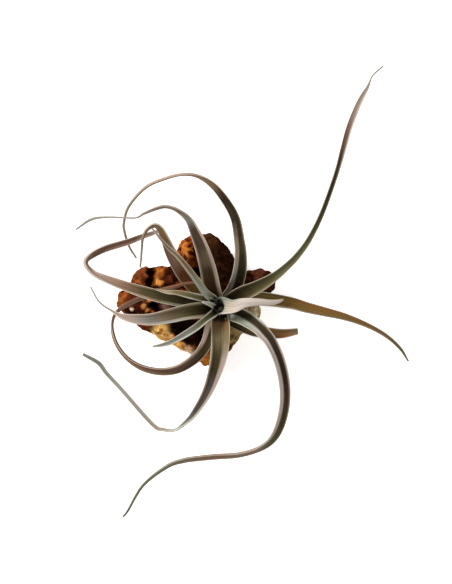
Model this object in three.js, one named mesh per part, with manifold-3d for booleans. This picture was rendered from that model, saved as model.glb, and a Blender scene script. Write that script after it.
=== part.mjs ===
import * as THREE from 'three';
import { mergeVertices } from 'three/addons/utils/BufferGeometryUtils.js';
import Module from 'manifold-3d';

// Air plant: an open rosette of long, channelled, curling leaves on a short stem, seated on a
// knob of root wood. Millimetres, +Z up. The origin lies on the wood's flat underside, straight
// below the crown of the plant.

// Leaf blades
const BLADE_MIDDLE = 0.9; // thickness along the keel
const BLADE_MARGIN = 0.62; // thickness at the two margins
const CHANNEL_ANGLE = 140; // how far round a blade is rolled into its channel, in degrees
const THREAD_WIDTH = 3; // narrower than this, a blade opens flat towards its thread of a tip
const SECTION_STEP = 4.5; // distance between two sections along a leaf
const BLADE_FACETS = 4; // facets across one face of a blade
const CLEARANCE = 0.4; // gap between neighbouring pieces

// Stem: a short tapering stub that the leaf bases sheathe
const STEM_BOTTOM = 25.5; // sunk a little way into its seat in the wood
const STEM_SHOULDER = 36; // it tapers from here
const STEM_TOP = 42;
const STEM_RADIUS = 2.4;
const STEM_FOOT_RADIUS = 1.9;
const STEM_TOP_RADIUS = 1.5;
const STEM_FOOT_HEIGHT = 2; // height of the taper at its foot
const STEM_DOME_HEIGHT = 0.6; // height of the domed top
const STEM_SIDES = 20;

// Root wood
const WOOD_CENTRE = new THREE.Vector3(-11, 4, 7); // every part of its surface is seen from here
const WOOD_DETAIL = 13; // subdivisions of the ball that is drawn onto its surface
const WOOD_REACH = 60; // further out than any part of it
const WOOD_MARCH = 1.2; // step of the search for its surface
const WOOD_HALVINGS = 12; // how often that step is then halved
const WOOD_BLEND = 4; // how softly two lumps run together
const PIT_BLEND = 2.2; // how softly a hollow's edge is rounded
const GRAIN_RELIEF = 0.55; // height of the knobbly relief

const WOOD_COLOUR = 0x6b3a1c;
const WOOD_ROUGHNESS = 0.5;
const STEM_COLOUR = 0x7d7a5e;
const PLANT_ROUGHNESS = 0.8;

// Lumps of the wood: centre x, y, z, radii along, across and up, turn about Z in degrees.
const LUMPS = [
  [-13, 2, 11, 27, 18, 15, 0], // the body
  [3, -1, 10, 15, 13, 17.4, 0], // under the crown
  [-43.5, 3.5, 14, 9.5, 8, 9.5, 0], // left knob
  [-37.5, 12.5, 14, 8, 8.5, 12, 0], // upper left block
  [-28, 13, 15, 8, 8.5, 13, 0],
  [-16.5, 25.5, 15, 12.5, 6.5, 14, 71], // knobbly upper ridge
  [-0.5, 20.5, 13, 19.5, 9.2, 15, 118], // smooth dome
  [19, 12, 12, 10, 7.5, 10, 15], // right knob
  [12, -2, 9, 9, 6, 11, -10], // right flank
  [5, -8, 10, 14, 7.2, 13, 58], // lower right flank
  [1.5, -18, 8, 8, 5, 8, 58],
  [-7, -22, 9, 8, 5.5, 9, 90], // bottom lump
  [-23.5, -12.5, 10, 24, 6, 11, -30], // lower left flank
  [-37, -5, 9, 9, 6, 10, -30],
];

// Hollows worn into it, in the same terms.
const HOLLOWS = [
  [-16, -12, 26, 13, 6.5, 9, -30], // the long hollow below the crown
  [-35, 1, 28, 5, 4, 7, 0],
  [-31, 17, 29, 4.5, 4, 7, 20],
  [-11, 24, 31, 10, 3.5, 7, 100],
  [-24, 10, 31, 4, 3.5, 6, 0],
  [-47, 5, 25, 2.5, 2.5, 3, 0],
  [20, 11, 24, 3, 2.5, 4, 0],
];

// The leaves, innermost first. Each row is a point on the middle line of a leaf, from the crown to
// its tip: x, y, height, width of the blade laid flat, roll in degrees (0 is channel up, and a
// positive roll opens the channel to the left of the leaf's run), and the channel angle where it
// differs. The outer leaves start with a sheath that wraps round the stem.
const LEAVES = {
  leaf_heart_sliver: {
    colour: 0xaeb3a4,
    line: [
      [-2.5, 0.5, 46, 3, 0],
      [-5, 2, 52, 2.6, 0],
      [-8.5, 3, 55, 1, 0],
    ],
  },
  leaf_heart_white: {
    colour: 0xd9cdc2,
    line: [
      [1, -0.5, 37, 7, 0, 200],
      [0.8, 0.6, 44, 10, 0, 190],
      [1.4, 1.2, 50.5, 12, 0, 165],
      [6.5, 0.9, 54.5, 7.2, 0, 90],
      [12, 2.6, 57, 4.9, 0, -30],
      [18.5, 3.1, 57, 3.7, 0, -60],
      [25.5, 2.8, 55, 2.8, 0, -60],
      [29.5, 3.5, 52.5, 1.8, 0, -50],
      [31.5, 4.3, 51, 0.9, 0, -30],
    ],
  },
  leaf_inner_upper_left: {
    colour: 0x9fa594,
    line: [
      [-1.5, 1.5, 40, 7, 10],
      [-3.4, 4.6, 48, 6.4, 15],
      [-7, 8, 55, 5, 20],
      [-11, 13.5, 61, 4.2, 18],
      [-15.5, 19.5, 66, 3.6, 12],
      [-20.5, 25.5, 70, 2.6, 5],
      [-26, 30.5, 72.5, 1.8, 0],
      [-33, 39, 74, 0.8, 0],
    ],
  },
  leaf_inner_left: {
    colour: 0x8f9580,
    line: [
      [-2, 1, 41, 6, -10],
      [-4.5, 3, 48, 5, -15],
      [-8.5, 4.6, 53, 4.8, -25],
      [-15, 6, 56.5, 4.6, -35],
      [-21.5, 7.5, 58, 3.4, -35],
      [-26.5, 8, 58, 2, -25],
      [-31.5, 9.4, 57, 0.9, -20],
    ],
  },
  leaf_inner_lower_left: {
    colour: 0x96988a,
    line: [
      [-2, -1.5, 41, 6, 0],
      [-3.5, -3, 48, 5.2, -5],
      [-7, -5.7, 53.5, 4.4, -12],
      [-12, -9.8, 57, 4.4, -15],
      [-18, -13.6, 57.5, 4, -15],
      [-24.5, -17, 55, 3, -10],
      [-30, -18.5, 52.5, 1.6, 0],
      [-33.5, -19, 51, 0.8, 0],
    ],
  },
  leaf_left: {
    colour: 0x78735f,
    line: [
      [-2.7, -0.5, 28.8, 8.6, 0, 150],
      [-3, -0.6, 35, 8.2, 0],
      [-5, -0.5, 42, 9.5, 0],
      [-10, -1, 48, 10.4, 0],
      [-17, -2, 52.5, 9.8, 0],
      [-25.5, -4, 54, 8.8, 0],
      [-34, -5.6, 52.5, 7.4, 0],
      [-42.5, -5.5, 49, 5.8, -5],
      [-49, -4.2, 46, 3.6, -12],
      [-54, -1.5, 43, 1.3, -20],
      [-60.5, 3, 41, 0.9, -10],
      [-65, 10.5, 39.5, 0.7, 0],
    ],
  },
  leaf_bottom: {
    colour: 0x80755a,
    line: [
      [0, -2.7, 28.8, 9, 0, 150],
      [0, -2.8, 35, 9, 0],
      [0, -5, 42, 10.6, 0],
      [0.3, -11, 48.5, 12, 0],
      [0, -21, 54, 11.2, -4],
      [-2, -31, 56, 9.2, -12],
      [-6, -42, 55, 7, -25],
      [-12.5, -52.5, 51.5, 5, -38],
      [-18, -58, 48, 3.4, -55],
      [-22.5, -61, 45.5, 2.4, -75],
      [-28.5, -61, 42.5, 2.2, -60],
      [-34, -58.5, 40, 2.8, -35],
      [-49.5, -41.5, 34, 2.4, -20],
      [-57.5, -33, 31.5, 2.4, -15],
      [-61.5, -28, 30, 2.6, -10],
      [-69.5, -23.5, 28, 1.5, 0],
    ],
  },
  leaf_lower_right: {
    colour: 0x6c6650,
    line: [
      [2.2, -1.5, 28.8, 9, 0, 150],
      [2.4, -1.7, 35, 9, 5],
      [5.5, -2.5, 42, 10.4, 8],
      [11.5, -5, 48, 10.6, 14],
      [17.5, -9, 53, 10, 22],
      [21.5, -13, 56, 9.2, 27],
      [25, -17.5, 57.5, 8.6, 28],
      [29, -26.5, 57.5, 8.1, 28],
      [31.5, -38, 55, 7.8, 28],
      [31.5, -49, 51, 7.4, 29],
      [29, -59.5, 46.5, 7, 34],
      [25, -66.5, 42, 6.2, 45],
      [18.5, -71, 38, 5.6, 58],
      [9, -74, 33, 5.4, 66],
      [-1.5, -75, 29.5, 5.3, 66],
      [-10, -76, 27, 5, 64],
      [-19, -77.5, 24.5, 4.6, 60],
      [-27.5, -81, 21.5, 3.5, 50],
      [-39.5, -91, 16.5, 1.9, 30],
      [-47.5, -104.5, 12, 1.2, 0],
      [-50, -107.5, 11, 0.9, 0],
    ],
  },
  leaf_upper_right: {
    colour: 0x66694f,
    line: [
      [2.4, 1.2, 28.8, 9, 0, 150],
      [2.8, 1.6, 35, 9, -5],
      [5.5, 4, 42, 10, -10],
      [11, 7.5, 49.5, 10, -14],
      [18, 10.6, 56, 8.6, -13],
      [26, 15.2, 62, 6.2, -12],
      [31.8, 19.8, 66, 5, -12],
      [37.6, 25.6, 69.5, 4.2, -14],
      [43.6, 34, 73, 3.6, -16],
      [49.8, 46.8, 76, 3.2, -18],
      [56.3, 65, 77, 3.1, -20],
      [60, 77.5, 75.5, 3.5, -5],
      [63, 87.5, 73.5, 3.8, 15],
      [66.5, 96.5, 70.5, 3.7, 22],
      [69.5, 103, 67.5, 3.2, 20],
      [72.5, 108.5, 64, 1.7, 10],
      [74, 112, 62, 0.9, 0],
      [75.5, 115, 60.5, 0.8, 0],
      [80.5, 119.5, 58, 0.8, 0],
    ],
  },
  leaf_upper: {
    colour: 0x7b6c58,
    line: [
      [-1, 2.5, 28.8, 8.6, 0, 150],
      [-1.2, 2.8, 35, 8.8, 0],
      [-2.2, 5, 42, 10.2, 8],
      [-3.8, 10.5, 49.5, 10.8, 8],
      [-5.8, 20, 57.5, 10.6, 9],
      [-8.5, 29.5, 63.5, 9, 14],
      [-11.6, 37, 66.5, 7.2, 22],
      [-15.2, 43.8, 68, 5, 35],
      [-21, 48.3, 68, 3.6, 55],
      [-26.5, 50, 67, 3.1, 60],
      [-31.5, 49, 66, 2.7, 50],
      [-37.5, 46.5, 64, 1.5, 25],
      [-42, 44.5, 62.5, 0.9, 0],
      [-54.5, 45, 59, 0.9, 0],
      [-63.5, 44, 56.5, 1.5, 0],
      [-71.5, 39, 54, 0.8, 0],
    ],
  },
  leaf_left_loop: {
    colour: 0x8b7968,
    line: [
      [-4.1, 0.8, 28.4, 9.6, 0, 115],
      [-4.6, 1.4, 33, 9.4, 0, 125],
      [-6.5, 2.4, 38.5, 9.2, 0],
      [-10, 3, 43.5, 9, 0],
      [-20, 4, 49, 8.6, 0],
      [-30, 5.8, 51.5, 8, -4],
      [-38, 7.8, 52, 7.4, -10],
      [-46.5, 10.4, 52, 6.6, -22],
      [-57, 14.2, 51, 6, -45],
      [-62.8, 17, 50, 5.6, -62],
      [-66.4, 20.5, 49, 5.4, -75],
      [-67, 23.8, 48.5, 5.4, -72],
      [-63, 27.2, 49, 5.4, -52],
      [-57, 30, 49.5, 5.2, -40],
      [-50, 32, 50, 4.7, -32],
      [-44.5, 33.6, 50.3, 4.2, -28],
      [-39.5, 35.5, 50.6, 3.6, -25],
      [-34.5, 37, 50.8, 2.8, -22],
      [-30, 38.5, 51, 1.4, -20],
    ],
  },
  leaf_upper_left: {
    colour: 0x86695a,
    line: [
      [-2.2, 3.5, 28.4, 9.6, 0, 115],
      [-3.2, 4, 32, 9.8, 0, 125],
      [-6.2, 5.8, 36.5, 10.2, 0],
      [-10.5, 9.5, 40, 11, 0],
      [-16, 15, 43.5, 10.6, 5],
      [-20.5, 21.5, 48.5, 9.4, 10],
      [-24, 28, 55, 7.8, 18],
      [-26.5, 34, 60.5, 6.2, 28],
      [-29, 39, 63, 5.2, 42],
      [-32, 41, 63.5, 4.2, 55],
      [-35.7, 39, 62, 3.2, 65],
      [-38, 35, 59, 2.4, 70],
      [-38.7, 30.5, 53.5, 1.8, 65],
      [-39.3, 25.5, 47, 1.4, 60],
      [-40, 20.5, 41, 0.9, 40],
    ],
  },
  leaf_top_loop: {
    colour: 0x70664f,
    line: [
      [2, 3.6, 28.4, 9.6, 0, 115],
      [2.8, 4.4, 33, 9.4, -8, 125],
      [4.6, 6.5, 38, 9.6, -15],
      [7, 11, 44, 10.2, -24],
      [9, 18, 52, 9.8, -28],
      [9.8, 26, 58.5, 8.2, -25],
      [9.3, 33.5, 62.5, 6.9, -15],
      [7.3, 44.5, 66, 5.8, -4],
      [2, 54, 67.5, 5, 8],
      [-4, 61, 67.5, 4.2, 28],
      [-11, 65, 66.5, 3.4, 60],
      [-18, 65.8, 65, 3.2, 78],
      [-26, 64.2, 63, 3.3, 78],
      [-36.5, 59.8, 60, 3.2, 75],
      [-45, 50.8, 55.5, 2.5, 65],
      [-47.7, 43, 51.5, 2, 58],
      [-47.7, 38.5, 48.8, 1.8, 50],
      [-45.5, 31, 44.5, 1.3, 30],
      [-42, 25, 40, 0.8, 0],
    ],
  },
  leaf_lower_left_loop: {
    colour: 0x8b7468,
    line: [
      [-1.8, -3.7, 28.4, 9.2, 0, 115],
      [-2.4, -4.6, 32, 9, 2, 125],
      [-3.5, -7, 36, 8.7, 6],
      [-5, -11.5, 39, 8.6, 12],
      [-7.5, -18, 41.5, 8.2, 26],
      [-12.5, -24.5, 42.5, 7.8, 38],
      [-21, -30, 41.5, 7.2, 46],
      [-30, -31.5, 39, 6.6, 50],
      [-39, -29.8, 36.5, 5.8, 56],
      [-46.5, -25.4, 34.5, 4.8, 66],
      [-52, -18.5, 32.5, 4, 78],
      [-54.4, -11, 31.5, 3.4, 90],
      [-54, -5.5, 31.5, 3.2, 105],
      [-51.5, -1.7, 32, 3.2, 122],
      [-47.7, 1, 33, 3.1, 140],
      [-42.5, 3.6, 34.5, 3, 155],
      [-36.5, 6, 36.5, 2.7, 165],
      [-29, 9, 40.5, 2.3, 175],
      [-21.5, 11, 46, 1.8, 180],
      [-16, 12.5, 49.5, 1.3, 180],
      [-10, 12.5, 52, 0.8, 180],
    ],
  },
  leaf_cut: {
    colour: 0x7c6644,
    line: [
      [2.4, -3.4, 28.4, 9, 0, 115],
      [3.2, -4.2, 32, 8.8, 0, 125],
      [5.6, -5.8, 36.5, 8.6, 0],
      [10, -8, 40, 8.6, -5],
      [17, -11, 43, 7.8, -15],
      [24, -12, 44, 7.2, -20],
      [31, -12.5, 43.7, 6.2, -20],
      [39, -11.5, 42.8, 4, -20],
    ],
  },
  leaf_right: {
    colour: 0x7a6742,
    line: [
      [4.1, 0.5, 28.4, 9, 0, 115],
      [4.7, 0.8, 32, 8.8, 2, 125],
      [7, 1.8, 36.5, 9, 5],
      [12.5, 3.6, 40.5, 9.6, 10],
      [21, 4.2, 44.5, 9.2, 13],
      [34.5, 2.3, 47.5, 8, 16],
      [43, 0, 48, 7.2, 18],
      [51.5, -2, 47.5, 6.2, 18],
      [62.5, -4.6, 45, 4.6, 14],
      [73.5, -8.6, 41, 3.2, 8],
      [83.5, -14, 36, 2.3, 3],
      [91, -20.5, 31, 1.7, 0],
      [95.5, -27, 26.5, 0.8, 0],
    ],
  },
};

const wasm = await Module();
wasm.setup();

function toSolid(geometry) {
  const bare = geometry.clone();
  bare.deleteAttribute('normal');
  bare.deleteAttribute('uv');
  const merged = mergeVertices(bare, 1e-5);
  const mesh = new wasm.Mesh({
    numProp: 3,
    vertProperties: new Float32Array(merged.attributes.position.array),
    triVerts: new Uint32Array(merged.index.array),
  });
  return new wasm.Manifold(mesh);
}

function toGeometry(solid) {
  const mesh = solid.getMesh();
  const geometry = new THREE.BufferGeometry();
  geometry.setAttribute('position', new THREE.BufferAttribute(mesh.vertProperties, mesh.numProp));
  geometry.setIndex(new THREE.BufferAttribute(mesh.triVerts, 1));
  geometry.computeVertexNormals();
  return geometry;
}

// One section of a blade: a crescent round the leaf's middle line, thickest at the keel. The outer
// face runs from the left margin to the right one and the inner face runs back. Each point is
// [to the left, towards the channel's opening].
function crescent(width, angle, grow) {
  const half = THREE.MathUtils.degToRad(angle * Math.min(1, width / THREAD_WIDTH)) / 2;
  const turn = Math.abs(half) < 0.02 ? 0.02 : half;
  const radius = width / (2 * turn);
  const balance = (radius * Math.sin(turn)) / turn;
  const points = [];
  for (const face of [1, -1]) {
    for (let i = 0; i <= BLADE_FACETS; i++) {
      const across = face * (1 - (2 * i) / BLADE_FACETS);
      const lean = across * turn;
      const middle = Math.cos((across * Math.PI) / 2);
      const thickness = THREE.MathUtils.lerp(BLADE_MARGIN, BLADE_MIDDLE, middle) / 2 + grow;
      const reach = radius + face * thickness;
      const rim = across * grow;
      points.push([
        reach * Math.sin(lean) + rim * Math.cos(lean),
        balance - reach * Math.cos(lean) + rim * Math.sin(lean),
      ]);
    }
  }
  return points;
}

// Sweep the crescent along a leaf's middle line. Both faces are split along the same diagonals, so
// that they never cross where the blade is waved or twisted.
function bladeGeometry(line, grow = 0) {
  const route = new THREE.CatmullRomCurve3(
    line.map(([x, y, z]) => new THREE.Vector3(x, y, z)), false, 'catmullrom', 0.5,
  );
  const form = new THREE.CatmullRomCurve3(
    line.map(([, , , width, roll, angle = CHANNEL_ANGLE]) => new THREE.Vector3(width, roll, angle)),
    false, 'catmullrom', 0.5,
  );
  const sections = Math.ceil(route.getLength() / SECTION_STEP);
  const up = new THREE.Vector3(0, 0, 1);
  const positions = [];
  for (let s = 0; s <= sections; s++) {
    const t = route.getUtoTmapping(s / sections);
    const along = route.getTangent(t);
    const ends = (s === sections) - (s === 0);
    const centre = route.getPoint(t).addScaledVector(along, ends * grow);
    const { x: width, y: roll, z: angle } = form.getPoint(t);
    const left = new THREE.Vector3().crossVectors(up, along).normalize();
    const open = new THREE.Vector3().crossVectors(along, left);
    const turn = THREE.MathUtils.degToRad(roll);
    const across = left.clone().multiplyScalar(Math.cos(turn)).addScaledVector(open, -Math.sin(turn));
    const opening = open.clone().multiplyScalar(Math.cos(turn)).addScaledVector(left, Math.sin(turn));
    for (const [a, b] of crescent(width, angle, grow)) {
      const point = centre.clone().addScaledVector(across, a).addScaledVector(opening, b);
      positions.push(point.x, point.y, point.z);
    }
  }
  const ring = 2 * (BLADE_FACETS + 1);
  const index = [];
  for (let s = 0; s < sections; s++) {
    for (let i = 0; i < ring; i++) {
      const j = (i + 1) % ring;
      const [a, b] = [s * ring + i, s * ring + j];
      const [c, d] = [a + ring, b + ring];
      if (i < BLADE_FACETS) index.push(a, d, b, a, c, d);
      else index.push(a, c, b, b, c, d);
    }
  }
  for (let i = 0; i < BLADE_FACETS; i++) {
    const [a, b, c, d] = [i, i + 1, ring - 1 - i, ring - 2 - i];
    const end = sections * ring;
    index.push(a, b, c, b, d, c);
    index.push(end + a, end + c, end + b, end + b, end + c, end + d);
  }
  const geometry = new THREE.BufferGeometry();
  geometry.setAttribute('position', new THREE.Float32BufferAttribute(positions, 3));
  geometry.setIndex(index);
  return geometry;
}

// Distance from a point to an ellipsoid, near enough close to its surface.
function ellipsoidDistance(point, [cx, cy, cz, rx, ry, rz, turn]) {
  const angle = THREE.MathUtils.degToRad(turn);
  const [dx, dy, dz] = [point.x - cx, point.y - cy, point.z - cz];
  const x = dx * Math.cos(angle) + dy * Math.sin(angle);
  const y = dy * Math.cos(angle) - dx * Math.sin(angle);
  const near = Math.hypot(x / rx, y / ry, dz / rz);
  const slope = Math.hypot(x / rx ** 2, y / ry ** 2, dz / rz ** 2);
  return (near * (near - 1)) / Math.max(slope, 1e-9);
}

// The smaller of two distances, with the crease between them rounded off.
function smoothMin(a, b, blend) {
  const mix = Math.max(blend - Math.abs(a - b), 0) / blend;
  return Math.min(a, b) - (mix * mix * blend) / 4;
}

function grain({ x, y, z }) {
  const warp = 1.3 * Math.sin(0.21 * x + 0.17 * y - 0.3 * z);
  const coarse = Math.sin(0.62 * x + 0.28 * y + warp) * Math.sin(0.55 * y - 0.3 * x + 0.4 * z);
  const fine = Math.sin(1.05 * x - 0.5 * y + 0.7 * z + warp) * Math.sin(0.95 * y + 0.8 * z);
  return GRAIN_RELIEF * (coarse + 0.7 * fine);
}

function woodDistance(point) {
  let body = Infinity;
  for (const lump of LUMPS) body = smoothMin(body, ellipsoidDistance(point, lump), WOOD_BLEND);
  body += grain(point);
  for (const hollow of HOLLOWS) {
    body = -smoothMin(-body, ellipsoidDistance(point, hollow), PIT_BLEND);
  }
  return body;
}

// Draw a ball onto the wood's surface, ray by ray from its centre, and saw the underside flat.
function woodSolid() {
  const ball = new THREE.IcosahedronGeometry(1, WOOD_DETAIL);
  const places = ball.attributes.position;
  const ray = new THREE.Vector3();
  const point = new THREE.Vector3();
  for (let i = 0; i < places.count; i++) {
    ray.fromBufferAttribute(places, i).normalize();
    let outer = WOOD_MARCH;
    while (outer < WOOD_REACH && woodDistance(point.copy(WOOD_CENTRE).addScaledVector(ray, outer)) < 0) {
      outer += WOOD_MARCH;
    }
    let inner = outer - WOOD_MARCH;
    for (let halving = 0; halving < WOOD_HALVINGS; halving++) {
      const middle = (inner + outer) / 2;
      if (woodDistance(point.copy(WOOD_CENTRE).addScaledVector(ray, middle)) < 0) inner = middle;
      else outer = middle;
    }
    point.copy(WOOD_CENTRE).addScaledVector(ray, inner);
    places.setXYZ(i, point.x, point.y, point.z);
  }
  const below = new THREE.BoxGeometry(4 * WOOD_REACH, 4 * WOOD_REACH, WOOD_REACH);
  below.translate(0, 0, -WOOD_REACH / 2);
  return toSolid(ball).subtract(toSolid(below));
}

function stemGeometry(grow = 0) {
  const profile = [
    [0, STEM_BOTTOM - grow],
    [STEM_FOOT_RADIUS + grow, STEM_BOTTOM - grow],
    [STEM_RADIUS + grow, STEM_BOTTOM + STEM_FOOT_HEIGHT],
    [STEM_RADIUS + grow, STEM_SHOULDER],
    [STEM_TOP_RADIUS + grow, STEM_TOP - STEM_DOME_HEIGHT],
    [0, STEM_TOP + grow],
  ];
  const stem = new THREE.LatheGeometry(profile.map(([r, z]) => new THREE.Vector2(r, z)), STEM_SIDES);
  return stem.rotateX(Math.PI / 2);
}

// Keep the largest body of a cut blade.
function largest(solid) {
  const bodies = solid.decompose();
  return bodies.reduce((best, body) => (body.volume() > best.volume() ? body : best));
}

function addPiece(group, name, geometry, colour, roughness) {
  const material = new THREE.MeshStandardMaterial({ color: colour, roughness, metalness: 0 });
  const piece = new THREE.Mesh(geometry, material);
  piece.name = name;
  group.add(piece);
}

const plant = new THREE.Group();
const stemSeat = toSolid(stemGeometry(CLEARANCE));
addPiece(plant, 'wood', toGeometry(woodSolid().subtract(stemSeat)), WOOD_COLOUR, WOOD_ROUGHNESS);
addPiece(plant, 'stem', stemGeometry(), STEM_COLOUR, PLANT_ROUGHNESS);

// Each leaf gives way to the stem and to the leaves inside it, as the sheaths in a rosette do.
let crown = stemSeat;
for (const [name, { colour, line }] of Object.entries(LEAVES)) {
  const blade = largest(toSolid(bladeGeometry(line)).subtract(crown));
  crown = crown.add(toSolid(bladeGeometry(line, CLEARANCE)));
  addPiece(plant, name, toGeometry(blade), colour, PLANT_ROUGHNESS);
}

export default plant;
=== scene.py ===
"""The looks of an air plant: an open rosette of long, channelled, curling leaves on a knob of
root wood. Metres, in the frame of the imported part; the sizes written below are in millimetres.
"""

import math

import bmesh
import bpy
import numpy as np
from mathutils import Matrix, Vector, noise
from mathutils.kdtree import KDTree


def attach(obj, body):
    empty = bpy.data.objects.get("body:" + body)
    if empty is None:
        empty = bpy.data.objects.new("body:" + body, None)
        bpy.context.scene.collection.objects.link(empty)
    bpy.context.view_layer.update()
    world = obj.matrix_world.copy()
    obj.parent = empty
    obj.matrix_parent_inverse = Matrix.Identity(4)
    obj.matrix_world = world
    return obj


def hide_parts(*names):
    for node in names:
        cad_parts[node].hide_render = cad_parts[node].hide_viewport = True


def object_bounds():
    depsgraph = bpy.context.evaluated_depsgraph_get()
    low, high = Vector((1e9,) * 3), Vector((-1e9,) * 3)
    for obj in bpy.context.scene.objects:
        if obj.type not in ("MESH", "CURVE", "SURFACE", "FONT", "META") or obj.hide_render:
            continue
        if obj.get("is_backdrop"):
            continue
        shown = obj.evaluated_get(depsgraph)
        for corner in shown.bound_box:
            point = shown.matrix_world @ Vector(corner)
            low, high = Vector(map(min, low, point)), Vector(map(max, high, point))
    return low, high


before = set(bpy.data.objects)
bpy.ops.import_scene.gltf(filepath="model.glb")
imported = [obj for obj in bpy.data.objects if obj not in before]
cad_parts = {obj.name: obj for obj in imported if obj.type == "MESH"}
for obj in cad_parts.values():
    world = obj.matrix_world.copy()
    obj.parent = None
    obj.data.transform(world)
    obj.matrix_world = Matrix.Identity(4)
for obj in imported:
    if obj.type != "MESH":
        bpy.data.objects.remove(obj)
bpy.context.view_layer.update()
MM = 0.001

# Root wood
# A knob of old root, dug out, scrubbed, dried and rubbed with oil. Its top is worn into knobs, folds and
# deep hollows, its underside is sawn flat, and a hole bored in the boss takes the plant's stem.
WOOD_CELL = 0.5  # the grid that its surface is drawn on
WOOD_SMOOTHING = 9  # passes that take the facets off
HOLLOW_REACH = 90  # passes that find the level its ridges and hollows are measured from
KNOB_SIZE = 4.2
KNOB_HEIGHT = 1.7
KNOB_BEND = 6  # the most that waves bend the knobs' outlines
KNOB_EDGE = 0.42  # in knob sizes, from a knob's middle to where it is level with the rest
WRINKLE_SIZE = 1.7
WRINKLE_HEIGHT = 1.3
MOTTLE_SIZE = 4.5  # patches of darker and lighter wood
FLECK_SIZE = 1.6  # the coarsest flecks of the grain
GRAIN_DEPTH = 0.3
BEND_SIZE = 4  # the waves that bend the outlines of its places
BEND_REACH = 1.6
BEND_SEED = 4
FOOT_LOW = 0.4  # between these heights the relief fades out towards the flat underside
FOOT_HIGH = 2.5
RIDGE_RANGE = 2.4  # from the darkest hollow to the brightest ridge
PLACE_END = 1.1  # a place's colour ends here, in reaches from its middle
PLACE_FADE = 0.6  # and takes this much of its reach to fade out
PLACE_SHARE = 0.95  # how much of the root's own colour it covers
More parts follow.
